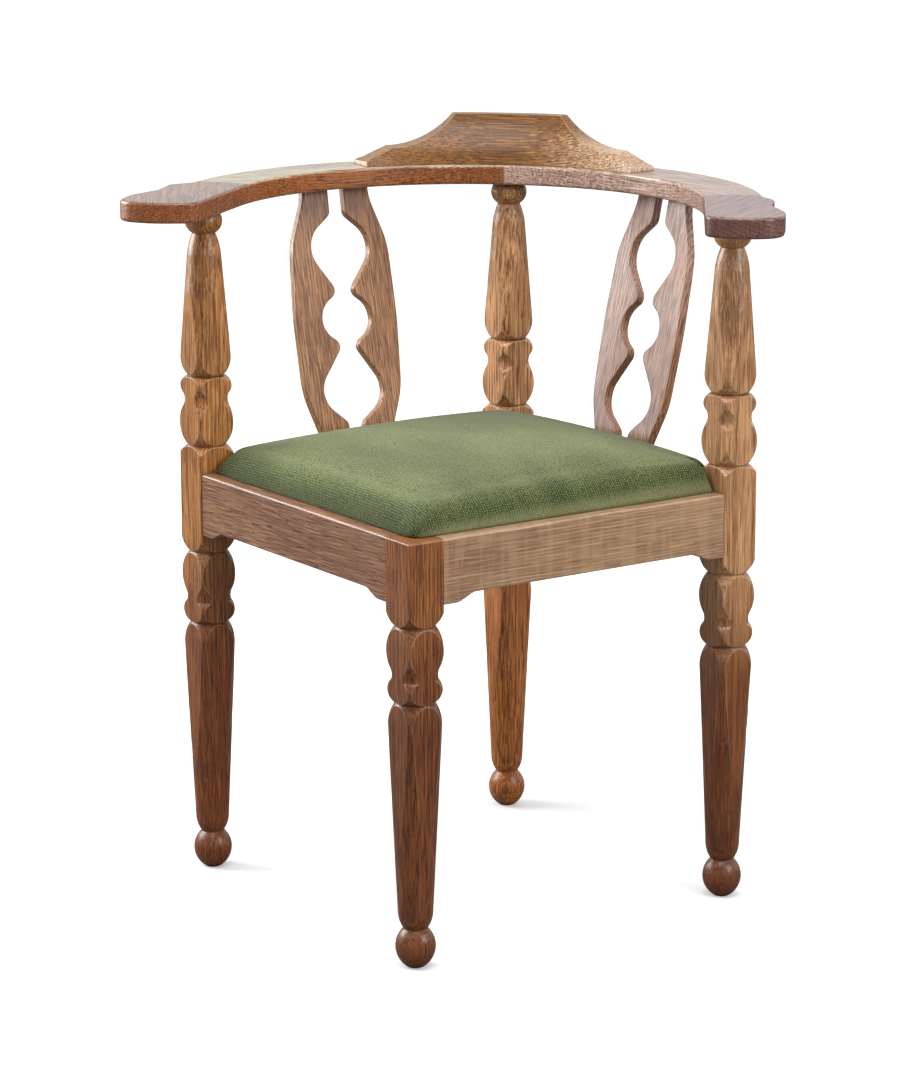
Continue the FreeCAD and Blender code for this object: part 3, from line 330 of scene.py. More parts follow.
ROW_PITCH, KNOT_PITCH, THREAD_DRIFT = 2.9 * MM, 2.5 * MM, 3.0 * MM
ROW_SHARE, KNOT_SHARE, FIBRE_DEPTH, CLOTH_RELIEF = 0.35, 0.65, 0.8, 0.35 * MM
MOSS_DARK, MOSS_LIGHT, MOSS_DEEP = (54, 60, 27), (80, 86, 45), (32, 40, 16)
# The knots' pale thread, then the painted light down the right front side and the painted shade
THREAD_PALE, PAINTED_SIDE_LIGHT, SHADE = (150, 166, 118), (168, 166, 122), (26, 30, 10)
SHEEN_TINT = (205, 208, 172)
# Ranges in which a tone comes in, and the least and most of it: patches, threads and fibres by
# their waves and noises, the rest by metres toward the back or along the cloth
PATCH_RANGE, THREAD_RANGE = (0.36, 0.64), (-0.1, 0.9, 0.0, 0.70)
FIBRE_RANGE, BACK_RANGE = (0.47, 0.63, 0.0, 0.75), (-0.02, 0.20, 0.0, 0.60)
# Ranges of the painted light down the right front side, the painted shade down the left, and the
# painted sheen on the front of the top with its shares
RIGHT_SIDE_RANGE, LEFT_SIDE_RANGE = (-0.196, -0.212, 0.0, 0.30), (-0.190, -0.206, 0.0, 0.25)
TOP_SHEEN_BACK, TOP_SHEEN_RIM, TOP_SHEEN_SHARE = (0.14, -0.02), (0.200, 0.165), (1.55, 1.48, 1.70)


def fabric(name):
    """Fine ribbed weave: rows of knots that follow the cloth along the seat's sides.

    The mesh's weave attribute says how far along the cloth each point is from the middle."""
    graph = new_material(name)
    place = graph.place()
    cloth = graph.add("ShaderNodeAttribute", output="Vector", attribute_name="weave")
    rows, knots, _ = graph.axes(cloth)
    drift = graph.times(graph.noise(place, 110.0), THREAD_DRIFT)

    def wave(run, pitch):
        return graph.math("SINE", graph.times(graph.plus(run, drift), 2 * math.pi / pitch))

    row_wave, knot_wave = wave(rows, ROW_PITCH), wave(knots, KNOT_PITCH)
    thread = graph.plus(graph.times(row_wave, ROW_SHARE),
                        graph.times(graph.times(row_wave, knot_wave), KNOT_SHARE))
    fibre = graph.noise(place, 480.0, 2.0, 0.7)
    patch = graph.noise(graph.scaled(cloth, (1.0, 0.4, 0.0)), 14.0)
    base = graph.mix(graph.ramp(patch, *PATCH_RANGE), colour(*MOSS_DARK), colour(*MOSS_LIGHT))
    base = graph.mix(graph.ramp(thread, *THREAD_RANGE), base, colour(*THREAD_PALE))
    base = graph.mix(graph.ramp(fibre, *FIBRE_RANGE), base, colour(*MOSS_DEEP))
    # Painted shade toward the back, and painted light down the right front side
    toward_back = graph.axes(place)[1]
    base = graph.mix(graph.ramp(toward_back, *BACK_RANGE), base, colour(*SHADE))
    base = graph.mix(graph.ramp(knots, *RIGHT_SIDE_RANGE), base, colour(*PAINTED_SIDE_LIGHT))
    # Painted sheen on the front of the top, away from the rims, and painted shade down the left
    # front side
    top_sheen = graph.ramp(toward_back, *TOP_SHEEN_BACK)
    for run in (rows, knots):
        top_sheen = graph.times(top_sheen, graph.ramp(graph.size_of(run), *TOP_SHEEN_RIM))
    base = graph.mix(top_sheen, base, graph.tinted(base, TOP_SHEEN_SHARE))
    base = graph.mix(graph.ramp(rows, *LEFT_SIDE_RANGE), base, colour(*SHADE))
    height = graph.plus(thread, graph.times(fibre, FIBRE_DEPTH))
    return graph.surface({
        "Base Color": base, "Roughness": 0.92, "Sheen Weight": 0.5, "Sheen Roughness": 0.40,
        "Sheen Tint": colour(*SHEEN_TINT), "Specular IOR Level": 0.25,
        "Normal": graph.bump(height, 0.6, CLOTH_RELIEF),
    })


def raw_wood(name, along, face, light, dark, layers=0.0):
    """Unfinished wood; layers is the thickness of two plies, seen as bands on the edge."""
    graph = new_material(name)
    place = wood_space(graph, along, face)
    streak = graph.noise(graph.scaled(place, (1.0, 1.0, 0.05)), 240.0, 3.0, 0.6)
    cloud = graph.noise(graph.scaled(place, (1.0, 1.0, 0.3)), 18.0, 3.0)
    base = graph.mix(graph.ramp(streak, 0.35, 0.75), colour(*light), colour(*dark))
    base = graph.mix(graph.ramp(cloud, 0.4, 0.7, 0.0, 0.3), base, colour(*dark))
    if layers:
        depth = graph.axes(place)[1]
        band = graph.math("SINE", graph.times(depth, 2 * math.pi / layers))
        normal = graph.add("ShaderNodeNewGeometry", output="Normal")
        edge = graph.ramp(graph.size_of(graph.axes(normal)[2]), 0.5, 0.2)
        base = graph.mix(graph.times(graph.ramp(band, -0.2, 0.2, 0.0, 0.6), edge), base,
                         colour(*dark))
    return graph.surface({
        "Base Color": base, "Roughness": 0.75, "Normal": graph.bump(streak, 0.4, 0.2 * MM),
    })


def metal(name, light, dark, rough):
    """Dull metal with marks of a darker tone that are also rougher."""
    graph = new_material(name)
    mark = graph.noise(graph.place(), 700.0, 3.0, 0.6)
    return graph.surface({
        "Base Color": graph.mix(graph.ramp(mark, 0.4, 0.7), colour(*light), colour(*dark)),
        "Metallic": 1.0, "Roughness": graph.ramp(mark, 0.3, 0.7, rough, rough + 0.2),
    })


# What each wooden piece looks like. The tones were matched from one side, and besides the oak's
# own colour they hold the painted sheen and shade seen from there, as on the pale, pink right arc
# and right slats. top paints sheen and shade on the arms' upper faces, and foot paints shade
# low down.

ARM_TURN = math.radians(39)
ARM_OUT, ARM_BACK = math.cos(ARM_TURN), math.sin(ARM_TURN)
LEG = {"along": UPRIGHT, "fleck": 0.1}
RAIL = {"pith": (0.05, 0.05), "ring": 3.2 * MM}
ARC = {"face": UPRIGHT, "pith": (0.02, 0.05), "fleck": 0.1, "hatch": 0.5, "coat": 0.6}
HAND = {"face": UPRIGHT, "pith": (0.02, 0.04), "ring": 4.0 * MM, "fleck": 0.1, "hatch": 0.4,
        "coat": 0.6}
SLAT = {"pith": (0.10, 0.02), "ring": 2.8 * MM, "fleck": 0.05}
LEFT_SLAT = dict(SLAT, along=(-0.20, 0.20, 1), face=(-1, 1, 0), tone=(163, 112, 71))
# The right slats' pale, pink tone holds a painted sheen, which foot takes off their lower part
RIGHT_SLAT = dict(SLAT, along=(0.20, 0.20, 1), face=(1, 1, 0), tone=(183, 140, 121),
                  foot=(0.65, 0.50, 0.33), foot_run=(0.71, 0.50))

OAK_PIECES = {
    # foot paints shade on the lower part of each leg
    "front_leg": dict(LEG, face=(1, -1, 0), tone=(148, 87, 41), seed=1.0, pith=(0.02, 0.06),
                      foot=(0.63, 0.52, 0.38)),
    "left_post": dict(LEG, face=(-1, -1, 0), tone=(175, 115, 61), seed=2.0, pith=(0.03, 0.05),
                      foot=(0.55, 0.35, 0.20)),
    "right_post": dict(LEG, face=(0, -1, 0), tone=(184, 133, 90), seed=3.0,
                       pith=(0.2708, -0.016), ring=4.5 * MM, wander=4 * MM, tilt=0.12,
                       pores=0.7, foot=(0.40, 0.23, 0.13)),
    "back_post": dict(LEG, face=(1, -1, 0), tone=(195, 139, 91), seed=4.0, pith=(0.02, 0.08),
                      foot=(0.90, 0.62, 0.30)),
    "front_left_rail": dict(RAIL, along=(1, -1, 0), face=(-1, -1, 0), tone=(144, 98, 68),
                            seed=5.0, fleck=0.1, slope=0.10),
    "front_right_rail": dict(RAIL, along=(1, 1, 0), face=(1, -1, 0), tone=(163, 126, 95),
                             seed=6.0, fleck=0.1, curl=0.35, pores=0.35),
    "back_right_rail": dict(RAIL, along=(1, -1, 0), face=(1, 1, 0), tone=(148, 100, 62),
                            seed=7.0, fleck=0.2),
    "back_left_rail": dict(RAIL, along=(1, 1, 0), face=(-1, 1, 0), tone=(148, 100, 62),
                           seed=8.0, fleck=0.2),
    # top paints sheen and shade on the arms' upper faces
    "left_arm_arc": dict(ARC, along=(ARM_OUT, ARM_BACK, 0), tone=(154, 88, 42), seed=8.0,
                         top=(1.2, 3.0, 7.5)),
    "left_arm_hand": dict(HAND, along=(-0.25, 1, 0), tone=(157, 90, 47), seed=11.0,
                          top=(0.62, 0.77, 1.0)),
    "left_inner_slat": dict(LEFT_SLAT, seed=17.0),
    "left_outer_slat": dict(LEFT_SLAT, seed=14.0),
    "right_arm_arc": dict(ARC, along=(ARM_OUT, -ARM_BACK, 0), tone=(188, 152, 134), seed=10.0,
                          top=(0.74, 0.71, 0.62)),
    "right_arm_hand": dict(HAND, along=(0.25, 1, 0), tone=(112, 74, 64), seed=13.0,
                           top=(1.15, 1.1, 0.97)),
    "right_inner_slat": dict(RIGHT_SLAT, seed=19.0),
    "right_outer_slat": dict(RIGHT_SLAT, seed=16.0),
}

BLOCK_LIGHT, BLOCK_DARK = (206, 170, 118), (176, 132, 82)
DOWEL_LIGHT, DOWEL_DARK = (214, 178, 126), (182, 140, 92)
BOARD_LIGHT, BOARD_DARK, TWO_PLIES = (212, 178, 130), (178, 138, 92), 3.0 * MM
SCREW_LIGHT, SCREW_DARK, SCREW_ROUGH = (178, 170, 150), (124, 118, 105), 0.35


def dress(node, material):
    mesh = nodes[node].data
    mesh.materials.clear()
    mesh.materials.append(material)


for node, look in OAK_PIECES.items():
    dress(node, oak("oak_" + node, **look))
for corner, along, face in (("front", RIGHTWARD, BACKWARD), ("back", RIGHTWARD, BACKWARD),
                            ("left", BACKWARD, RIGHTWARD), ("right", BACKWARD, RIGHTWARD)):
    dress(f"{corner}_corner_block",
          raw_wood(f"wood_{corner}_block", along, face, BLOCK_LIGHT, BLOCK_DARK))
pale_wood = raw_wood("wood_dowels", UPRIGHT, BACKWARD, DOWEL_LIGHT, DOWEL_DARK)
dress("arm_dowels", pale_wood)
dress("crest_dowels", pale_wood)
dress("block_screws", metal("screw_steel", SCREW_LIGHT, SCREW_DARK, SCREW_ROUGH))
dress("seat_board", raw_wood("seat_plywood", (1, 1, 0), UPRIGHT, BOARD_LIGHT, BOARD_DARK,
                             TWO_PLIES))


def new_piece(name, mesh):
    """The object made of a mesh, with its faces turned outward and shaded smooth."""
    bmesh.ops.recalc_face_normals(mesh, faces=mesh.faces)
    data = bpy.data.meshes.new(name)
    mesh.to_mesh(data)
    mesh.free()
    for face in data.polygons:
        face.use_smooth = True
    piece = bpy.data.objects.new(name, data)
    scene.collection.objects.link(piece)
    return piece


# Crest: the bent block with its hollow front as one smooth sweep round the chair's axis. Both
# ends are sawn to a shoulder, in a direction that is CREST_SAW_ANGLE away from +Y.

(_, _, CREST_FOOT), (_, CREST_OUTER, CREST_TOP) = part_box("crest_block")
CREST_TALL = CREST_TOP - CREST_FOOT
CREST_INNER = CREST_OUTER - 36 * MM
CREST_HALF_ANGLE = math.radians(35.2)
CREST_SAW_ANGLE = math.radians(24.0)
# The front leans back by so much: part evenly, the rest in a soft step between two heights
CREST_LEAN, CREST_LEAN_EVEN = 23 * MM, 0.68
CREST_STEP_START, CREST_STEP_END = 9 * MM, 50 * MM
CREST_EDGE, CREST_EDGE_TURN = 1.2 * MM, math.radians(32)
# The saw line, as millimetres across and over the foot, from the end to the top
SAW_END, SAW_KNEE, SAW_SCOOP, SAW_TOP = (51.0, 4.5), (18.3, 18.0), (-26.1, 28.8), (-54.4, 52.0)
# How many millimetres across the saw's direction the columns of points stand
CREST_COLUMNS = (
    51, 45, 38, 31, 24, 18.8, 18.3, 17.8, 12, 5, -3, -11, -19, -27, -34, -40, -45, -49, -52,
    -54, -54.4, -54.9, -62, -74, -87,
)
FRONT_ROWS, TOP_ROWS, BACK_ROWS = 26, 10, 4
# Rounds in which the height where the leaning front meets the saw line is worked out
EDGE_ROUNDS = 12


def three_point_arc(a, b, c):
    """Centre and radius of the circle through three points."""
    (ax, ay), (bx, by), (cx, cy) = a, b, c
    aa, bb, cc = ax * ax + ay * ay, bx * bx + by * by, cx * cx + cy * cy
    d = 2 * (ax * (by - cy) + bx * (cy - ay) + cx * (ay - by))
    x = (aa * (by - cy) + bb * (cy - ay) + cc * (ay - by)) / d
    y = (aa * (cx - bx) + bb * (ax - cx) + cc * (bx - ax)) / d
    return x, y, math.hypot(ax - x, ay - y)


SCOOP_X, SCOOP_Y, SCOOP_RADIUS = three_point_arc(SAW_KNEE, SAW_SCOOP, SAW_TOP)


def saw_height(across):
    """Height of the sawn outline over the foot, from how far it is across the saw's direction."""
    across = across / MM
    if across > SAW_KNEE[0]:
        share = (across - SAW_KNEE[0]) / (SAW_END[0] - SAW_KNEE[0])
        return max(SAW_END[1], SAW_KNEE[1] + share * (SAW_END[1] - SAW_KNEE[1])) * MM
    if across < SAW_TOP[0]:
        return CREST_TALL
    reach = max(0.0, SCOOP_RADIUS ** 2 - (across - SCOOP_X) ** 2)
    return min(CREST_TALL, (SCOOP_Y - math.sqrt(reach)) * MM)


def height_at(radius, angle):
    """Height of the sawn outline over the foot, at a distance and angle round the axis."""
    return saw_height(radius * math.sin(abs(angle) - CREST_SAW_ANGLE))


def crest_front(rise):
    """Radius of the hollow front at a height over the foot."""
    even = rise / CREST_TALL
    step = ease((rise - CREST_STEP_START) / (CREST_STEP_END - CREST_STEP_START))
    return CREST_INNER + CREST_LEAN * (CREST_LEAN_EVEN * even + (1 - CREST_LEAN_EVEN) * step)


def crest_columns():
    """The angles of each column of points at the front and the back, from end to end."""
    half = [(CREST_HALF_ANGLE, CREST_HALF_ANGLE)]
    for number in CREST_COLUMNS[1:]:
        across = number * MM
        half.append((CREST_SAW_ANGLE + math.asin(across / crest_front(saw_height(across))),
                     CREST_SAW_ANGLE + math.asin(across / CREST_OUTER)))
    return half + [(-front, -back) for front, back in reversed(half)]


def make_crest():
    """Rings of points round the block, one to each column, joined from end to end."""
    mesh = bmesh.new()

    def spot(radius, angle, rise):
        return mesh.verts.new((radius * math.sin(angle), radius * math.cos(angle),
                               CREST_FOOT + rise))

    rings = []
    for front_angle, back_angle in crest_columns():
        edge = height_at(CREST_INNER, front_angle)
        for _ in range(EDGE_ROUNDS):
            edge = height_at(crest_front(edge), front_angle)
        inner = crest_front(edge)
        ring = []
        for row in range(FRONT_ROWS):
            rise = edge * row / FRONT_ROWS
            ring.append(spot(crest_front(rise), front_angle, rise))
        for row in range(TOP_ROWS + 1):
            share = row / TOP_ROWS
            radius = inner + (CREST_OUTER - inner) * share
            angle = front_angle + (back_angle - front_angle) * share
            ring.append(spot(radius, angle, height_at(radius, angle)))
        rise = height_at(CREST_OUTER, back_angle)
        ring += [spot(CREST_OUTER, back_angle, rise * (1 - row / BACK_ROWS))
                 for row in range(1, BACK_ROWS + 1)]
        rings.append(ring)
    for one, two in zip(rings, rings[1:]):
        for k in range(len(one)):
            n = (k + 1) % len(one)
            mesh.faces.new([one[k], one[n], two[n], two[k]])
    for ring in (rings[0], rings[-1]):
        mesh.faces.new(ring).material_index = 1
    piece = new_piece("crest", mesh)
    rounded = piece.modifiers.new("edges", "BEVEL")
    rounded.width = CREST_EDGE
    rounded.segments = 3
    rounded.limit_method = "ANGLE"
    rounded.angle_limit = CREST_EDGE_TURN
    rounded.harden_normals = True
    return piece


crest = make_crest()
# The crest's tones take a painted sheen on the lower right of its front
crest.data.materials.append(oak(
    "oak_crest", RIGHTWARD, (0, -1, 0), tone=(130, 80, 18), seed=22.0, pith=(0.02, 0.08),
    fleck=0.2, hatch=0.15, turned=(2.5, 4.2, 30.0), coat=0.12))
crest.data.materials.append(oak(
    "oak_crest_end", UPRIGHT, RIGHTWARD, tone=(205, 178, 158), seed=23.0, pores=0.4))
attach(crest, "frame")
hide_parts("crest_block")


# Cushion. Worked out in the seat's own frame, where X and Y run along the rails and the front
# leg's corner is at -X and -Y. A notch is where a post takes a corner of the square away.

SEAT_TURN = Matrix.Rotation(math.radians(45), 4, "Z")
SEAT_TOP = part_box("front_leg")[1][2]
COVER_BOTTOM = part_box("seat_cover")[0][2]
POST_CORNERS = ((1, 1), (1, -1), (-1, 1))
# How far the outline and its notches reach at the pad's foot, on the skirt in the rabbet and
# where the cloth is turned under
PAD_HALF, PAD_NOTCH, PAD_FOOT = 195.8 * MM, 168.0 * MM, SEAT_TOP + 0.5 * MM
SKIRT_HALF, SKIRT_NOTCH, SKIRT_TOP = 194.9 * MM, 170.4 * MM, PAD_FOOT - 0.1 * MM
SKIRT_ROUND_TALL, SKIRT_ROUND_WIDE = 1.2 * MM, 0.8 * MM
TURN_HALF, TURN_NOTCH, TURN_TOP = 178.9 * MM, 154.4 * MM, COVER_BOTTOM + 1.6 * MM
FRONT_ROUND = 12 * MM
# The rolled edge, tighter at the notches, and softened where two sides meet
EDGE_TALL, EDGE_WIDE, EDGE_POWER = 24 * MM, 27 * MM, 1.8
NOTCH_WIDE = 7 * MM
CORNER_SOFT, CORNER_SPREAD = 26 * MM, 1.6
CROWN, CROWN_POWER = 20.5 * MM, 0.6
# The pad stands higher to the right, and near that corner it rises faster from the side at -Y
FULLER_RIGHT = 4 * MM
FULLER_START, FULLER_RUN = 40 * MM, 110 * MM
# Distances in from the rim and from the notches, in millimetres, where the mesh has lines, and
# the number of its cells from the last of them to the middle
RIM_STEPS = (0, 0.25, 0.8, 1.8, 3.2, 5.0, 7.2, 10.0, 13.5, 17.5, 22.0)
NOTCH_STEPS = (*RIM_STEPS, 27.0, 33.0, 40.0)
MIDDLE_CELLS = 14
ON_THE_LINE = 1e-6


def rolled(gap, wide):
    """Share of the edge's height at a distance in from it: steep at the foot, then over."""
    run = min(1.0, max(0.0, gap) / wide)
    return (1 - (1 - run) ** EDGE_POWER) ** (1 / EDGE_POWER)


def softly_less(a, b):
    """The smaller of two distances, with the crease between them smoothed away from the rim."""
    low = max(ON_THE_LINE, min(a, b))
    reach = min(CORNER_SOFT, CORNER_SPREAD * low)
    near = max(0.0, 1 - abs(a - b) / reach)
    return low - near * near * reach / 4


def cushion_height(x, y):
    """Height of the stuffed top over its foot: a rolled edge all round and a low crown."""
    faster = 1 + (ease((x - FULLER_START) / FULLER_RUN) if y < 0 else 0.0)
    edge = rolled(softly_less(PAD_HALF - abs(x), (PAD_HALF - abs(y)) * faster), EDGE_WIDE)
    for side_x, side_y in POST_CORNERS:
        edge *= rolled(max(PAD_NOTCH - side_x * x, PAD_NOTCH - side_y * y), NOTCH_WIDE)
    tall = EDGE_TALL + FULLER_RIGHT * (x - y) / (2 * PAD_HALF)
    vault = max(0.0, 1 - (x / PAD_HALF) ** 2) * max(0.0, 1 - (y / PAD_HALF) ** 2)
    return tall * edge + CROWN * vault ** CROWN_POWER


def axis_lines():
    """Where the mesh's lines cross each axis, close together where the edge rolls over."""
    lines = [PAD_HALF - step * MM for step in RIM_STEPS]
    lines += [PAD_NOTCH - step * MM for step in NOTCH_STEPS]
    last = lines[-1]
    lines += [last * (1 - step / MIDDLE_CELLS) for step in range(1, MIDDLE_CELLS)]
    return sorted([-value for value in lines] + [0.0] + lines)


def rounded_front(x, y):
    """Draw the square corner over the front leg in to a quarter circle."""
    start = PAD_HALF - FRONT_ROUND
    u, v = (-x - start) / FRONT_ROUND, (-y - start) / FRONT_ROUND
    if u <= 0 or v <= 0:
        return x, y
    return (-start - FRONT_ROUND * u * math.sqrt(1 - v * v / 2),
            -start - FRONT_ROUND * v * math.sqrt(1 - u * u / 2))


def on_plan(x, y, half, notch):
    """Where a point of the pad's rim lies on a square outline with notched corners."""
    far, near = max(abs(x), abs(y)), min(abs(x), abs(y))
    span = PAD_HALF - PAD_NOTCH
    if far <= PAD_HALF - ON_THE_LINE:
        far, near = notch + (far - PAD_NOTCH) * (half - notch) / span, notch
    elif near > PAD_NOTCH:
        far, near = half + (notch - half) * (near - PAD_NOTCH) / span, notch
    else:
        far, near = half, min(near, notch)
    spot = (far, near) if abs(x) >= abs(y) else (near, far)
    return math.copysign(spot[0], x), math.copysign(spot[1], y)


def cloth_runs(lines):
    """How far each grid point is from the middle lines, measured along the cloth both ways."""
    heights = [[cushion_height(x, y) for y in lines] for x in lines]
    count, middle = len(lines), len(lines) // 2
    along_x = [[0.0] * count for _ in lines]
    along_y = [[0.0] * count for _ in lines]
    for j in range(count):
        for step in (1, -1):
            i, k = middle, middle + step
            while 0 <= k < count:
                gap = abs(lines[k] - lines[i])
                rise_x, rise_y = heights[k][j] - heights[i][j], heights[j][k] - heights[j][i]
                along_x[k][j] = along_x[i][j] + step * math.hypot(gap, rise_x)
                along_y[j][k] = along_y[j][i] + step * math.hypot(gap, rise_y)
                i, k = k, k + step
    return along_x, along_y


def rim_loop(mesh):
    """The points of the mesh's open rim, one after the other."""
    start = next(edge for edge in mesh.edges if edge.is_boundary).verts[0]
    loop, seen = [start], {start}
    while True:
        ahead = [edge.other_vert(loop[-1]) for edge in loop[-1].link_edges if edge.is_boundary]
        ahead = [vert for vert in ahead if vert not in seen]
        if not ahead:
            return loop
        loop.append(ahead[0])
        seen.add(ahead[0])


def make_cushion():
    """The stuffed top, its skirt down into the rabbet and the cloth turned under, closed."""
    lines = axis_lines()
    along_x, along_y = cloth_runs(lines)
    mesh = bmesh.new()
    weave = mesh.verts.layers.float_vector.new("weave")
    verts, flat = {}, {}

    def inside(x, y):
        limit = PAD_NOTCH + ON_THE_LINE
        return not any(side_x * x > limit and side_y * y > limit
                       for side_x, side_y in POST_CORNERS)

    def vert(i, j):
        if (i, j) not in verts:
            x, y = lines[i], lines[j]
            point = mesh.verts.new((*rounded_front(x, y), PAD_FOOT + cushion_height(x, y)))
            point[weave] = (along_x[i][j], along_y[i][j], 0.0)
            verts[i, j], flat[point] = point, (x, y)
        return verts[i, j]

    cells = range(len(lines) - 1)
    for i in cells:
        for j in cells:
            if inside((lines[i] + lines[i + 1]) / 2, (lines[j] + lines[j + 1]) / 2):
                mesh.faces.new([vert(i, j), vert(i + 1, j), vert(i + 1, j + 1), vert(i, j + 1)])
    loop = rim_loop(mesh)
    upper = loop
    for half, notch, height in (
            (SKIRT_HALF, SKIRT_NOTCH, SKIRT_TOP),
            (SKIRT_HALF, SKIRT_NOTCH, COVER_BOTTOM + SKIRT_ROUND_TALL),
            (SKIRT_HALF - SKIRT_ROUND_WIDE, SKIRT_NOTCH - SKIRT_ROUND_WIDE, COVER_BOTTOM),
            (TURN_HALF, TURN_NOTCH, COVER_BOTTOM), (TURN_HALF, TURN_NOTCH, TURN_TOP)):
        lower = [mesh.verts.new((*on_plan(*flat[point], half, notch), height)) for point in loop]
        for top, below in zip(loop, lower):
            further = [math.copysign(PAD_FOOT - height, side) if abs(side) > PAD_NOTCH else 0.0
                       for side in flat[top]]
            below[weave] = top[weave] + Vector((*further, 0.0))
        for k in range(len(loop)):
            n = (k + 1) % len(loop)
            mesh.faces.new([upper[k], upper[n], lower[n], lower[k]])
        upper = lower
    mesh.faces.new(upper)
    bmesh.ops.remove_doubles(mesh, verts=mesh.verts, dist=0.01 * MM)
    mesh.transform(SEAT_TURN)
    return new_piece("seat_cushion", mesh)


# Height over the foot below which the cover is held fast, and over which it then comes free
HELD_RISE, FREEING_RISE, STILL_RISE = 3 * MM, 8 * MM, 1 * MM
CLOTH_FRAMES = 20
# Rounds in which the moves are evened out, the neighbours' share in one, and the longest move
SMOOTHING, SMOOTHING_SHARE, LONGEST_MOVE = 80, 0.6, 3 * MM


def settled_spots(piece):
    """Where the points come to rest when the cover swells as cloth with its foot held."""
    hold = piece.vertex_groups.new(name="hold")
    for vert in piece.data.vertices:
        free = (vert.co.z - PAD_FOOT - HELD_RISE) / FREEING_RISE
        hold.add([vert.index], min(1.0, max(0.0, 1.0 - free)), "REPLACE")
    cloth = piece.modifiers.new("cloth", "CLOTH")
    setup = cloth.settings
    setup.quality = 8
    setup.mass = 0.4
    setup.tension_stiffness = 25
    setup.compression_stiffness = 12
    setup.shear_stiffness = 8
    setup.bending_stiffness = 6.0
    setup.use_pressure = True
    setup.uniform_pressure_force = 4.0
    setup.vertex_group_mass = "hold"
    setup.effector_weights.gravity = 0.0
    setup.shrink_min = 0.01
    cloth.collision_settings.use_collision = False
    cloth.point_cache.frame_start = 1
    cloth.point_cache.frame_end = CLOTH_FRAMES
    for number in range(1, CLOTH_FRAMES + 1):
        scene.frame_set(number)
    shaped = piece.evaluated_get(bpy.context.evaluated_depsgraph_get())
    spots = [vert.co.copy() for vert in shaped.data.vertices]
    piece.modifiers.remove(cloth)
    piece.vertex_groups.remove(hold)
    scene.frame_set(1)
    return spots


def settle(piece):
    """Let the cover settle over its stuffing, with moves evened out among neighbours."""
    data = piece.data
    first = [vert.co.copy() for vert in data.vertices]
    moves = [now - was for was, now in zip(first, settled_spots(piece))]
    around = [[] for _ in moves]
    for edge in data.edges:
        one, two = edge.vertices
        around[one].append(two)
        around[two].append(one)
    still = [spot.z - PAD_FOOT < STILL_RISE for spot in first]
    for _ in range(SMOOTHING):
        moves = [Vector() if still[k] else moves[k] * (1 - SMOOTHING_SHARE)
                 + sum((moves[n] for n in near), Vector()) * (SMOOTHING_SHARE / len(near))
                 for k, near in enumerate(around)]
    for vert, was, move in zip(data.vertices, first, moves):
        if move.length > LONGEST_MOVE:
            move = move * (LONGEST_MOVE / move.length)
        vert.co = was + move


cushion = make_cushion()
settle(cushion)
cushion.data.materials.append(fabric("fabric_moss"))
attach(cushion, "drop_in_seat")
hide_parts("seat_cover", "seat_foam")


# Floor: white to the camera, with the chair's shadow, and grey to the light that it reflects

FLOOR_REACH = 30.0
FLOOR_GREY, FLOOR_WHITE = (0.20, 0.19, 0.18, 1), (0.93, 0.93, 0.93, 1)
# Metres from the chair's axis between which the floor's own light grows, from and to a strength
FLOOR_GLOW = (0.5, 2.6, 0.22, 0.60)

floor_mesh = bpy.data.meshes.new("floor")
floor_mesh.from_pydata([(x * FLOOR_REACH, y * FLOOR_REACH, 0)
                        for x, y in ((-1, -1), (1, -1), (1, 1), (-1, 1))], [], [(0, 1, 2, 3)])
floor = bpy.data.objects.new("floor", floor_mesh)
scene.collection.objects.link(floor)
ground = new_material("pale_floor")
by_camera = ground.add("ShaderNodeLightPath", output="Is Camera Ray")
away = ground.add("ShaderNodeVectorMath", {0: ground.place()}, "Value", operation="LENGTH")
floor_mesh.materials.append(ground.surface({
    "Base Color": ground.mix(by_camera, FLOOR_GREY, FLOOR_WHITE),
    "Roughness": 0.9, "Specular IOR Level": 0.0, "Emission Color": (1, 1, 1, 1),
    "Emission Strength": ground.times(by_camera, ground.ramp(away, *FLOOR_GLOW)),
}))


# The room: bright behind the chair, where its waxed tops catch the light, and dim in front

WINDOW_WHITE = (0.95, 0.98, 1.0, 1)
SEEN_STRENGTH = 1.06
# How far behind the chair a direction points, from and to, and the strengths there
ROOM_GLOW = (-0.3, 0.8, 0.50, 0.85)

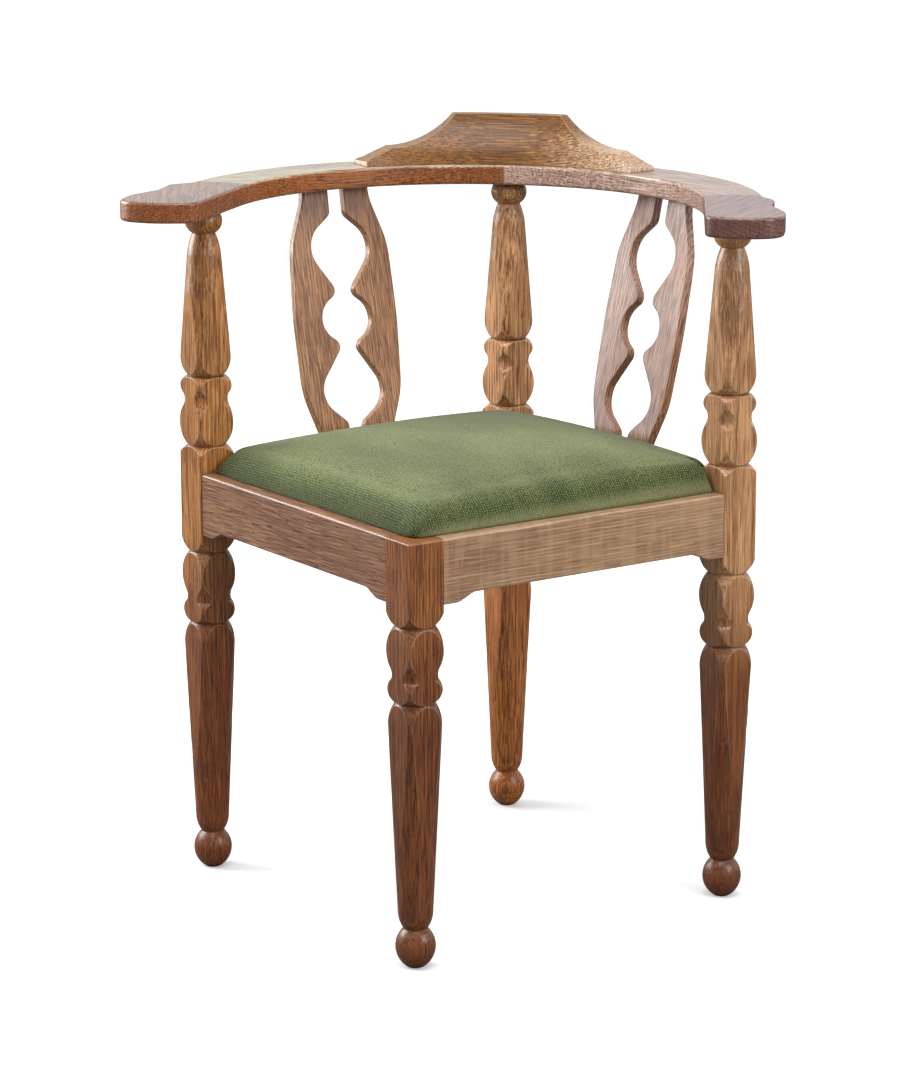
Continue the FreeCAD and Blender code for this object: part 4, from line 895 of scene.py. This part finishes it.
world = bpy.data.worlds.new("studio")
scene.world = world
room = Graph(world)
background = room.tree.nodes["Background"].inputs
by_camera = room.add("ShaderNodeLightPath", output="Is Camera Ray")
behind = room.axes(room.add("ShaderNodeTexCoord", output="Generated"))[1]
room.put(background["Color"], WINDOW_WHITE)
room.put(background["Strength"], room.larger(room.times(by_camera, SEEN_STRENGTH),
                                             room.ramp(behind, *ROOM_GLOW)))


def lamp(name, place, aim, width, power, tint=(1, 1, 1)):
    """A square lamp at a place in the room that shines toward a point."""
    light = bpy.data.lights.new(name, "AREA")
    light.shape = "SQUARE"
    light.size = width
    light.energy = power
    light.color = tint
    item = bpy.data.objects.new(name, light)
    item.location = place
    item.rotation_euler = (Vector(aim) - Vector(place)).to_track_quat("-Z", "Y").to_euler()
    scene.collection.objects.link(item)


ARM_LEVEL, SEAT_LEVEL = (0, 0, 0.75), (0, 0, 0.5)
lamp("window_left", (-1.7, 0.2, 1.15), ARM_LEVEL, 1.15, 36, (0.94, 0.97, 1.0))
lamp("window_right", (1.9, -0.9, 1.25), ARM_LEVEL, 1.1, 20, (1.0, 0.98, 0.95))
lamp("ceiling", (0.1, -0.5, 2.3), SEAT_LEVEL, 1.4, 26)


# The photograph's camera. Its focal length was worked out in pixels of the 1080 high picture.

FOCAL_PIXELS, PICTURE_PIXELS, SENSOR = 3677.8, 1080, 36
CAMERA_PLACE = (0.64518, -3.62193, 1.22991)
CAMERA_AHEAD = (-0.1746, 0.9577, -0.2287)
CAMERA_RIGHT = (0.9838, 0.1793, 0.0)

camera_data = bpy.data.cameras.new("camera")
camera_data.sensor_width = SENSOR
camera_data.lens = SENSOR * FOCAL_PIXELS / PICTURE_PIXELS
camera = bpy.data.objects.new("camera", camera_data)
ahead = Vector(CAMERA_AHEAD).normalized()
right = Vector(CAMERA_RIGHT)
right = (right - ahead * right.dot(ahead)).normalized()
turn = Matrix((right, right.cross(ahead), -ahead)).transposed()
camera.matrix_world = Matrix.Translation(CAMERA_PLACE) @ turn.to_4x4()
scene.collection.objects.link(camera)
scene.camera = camera
scene.view_settings.view_transform = "Standard"
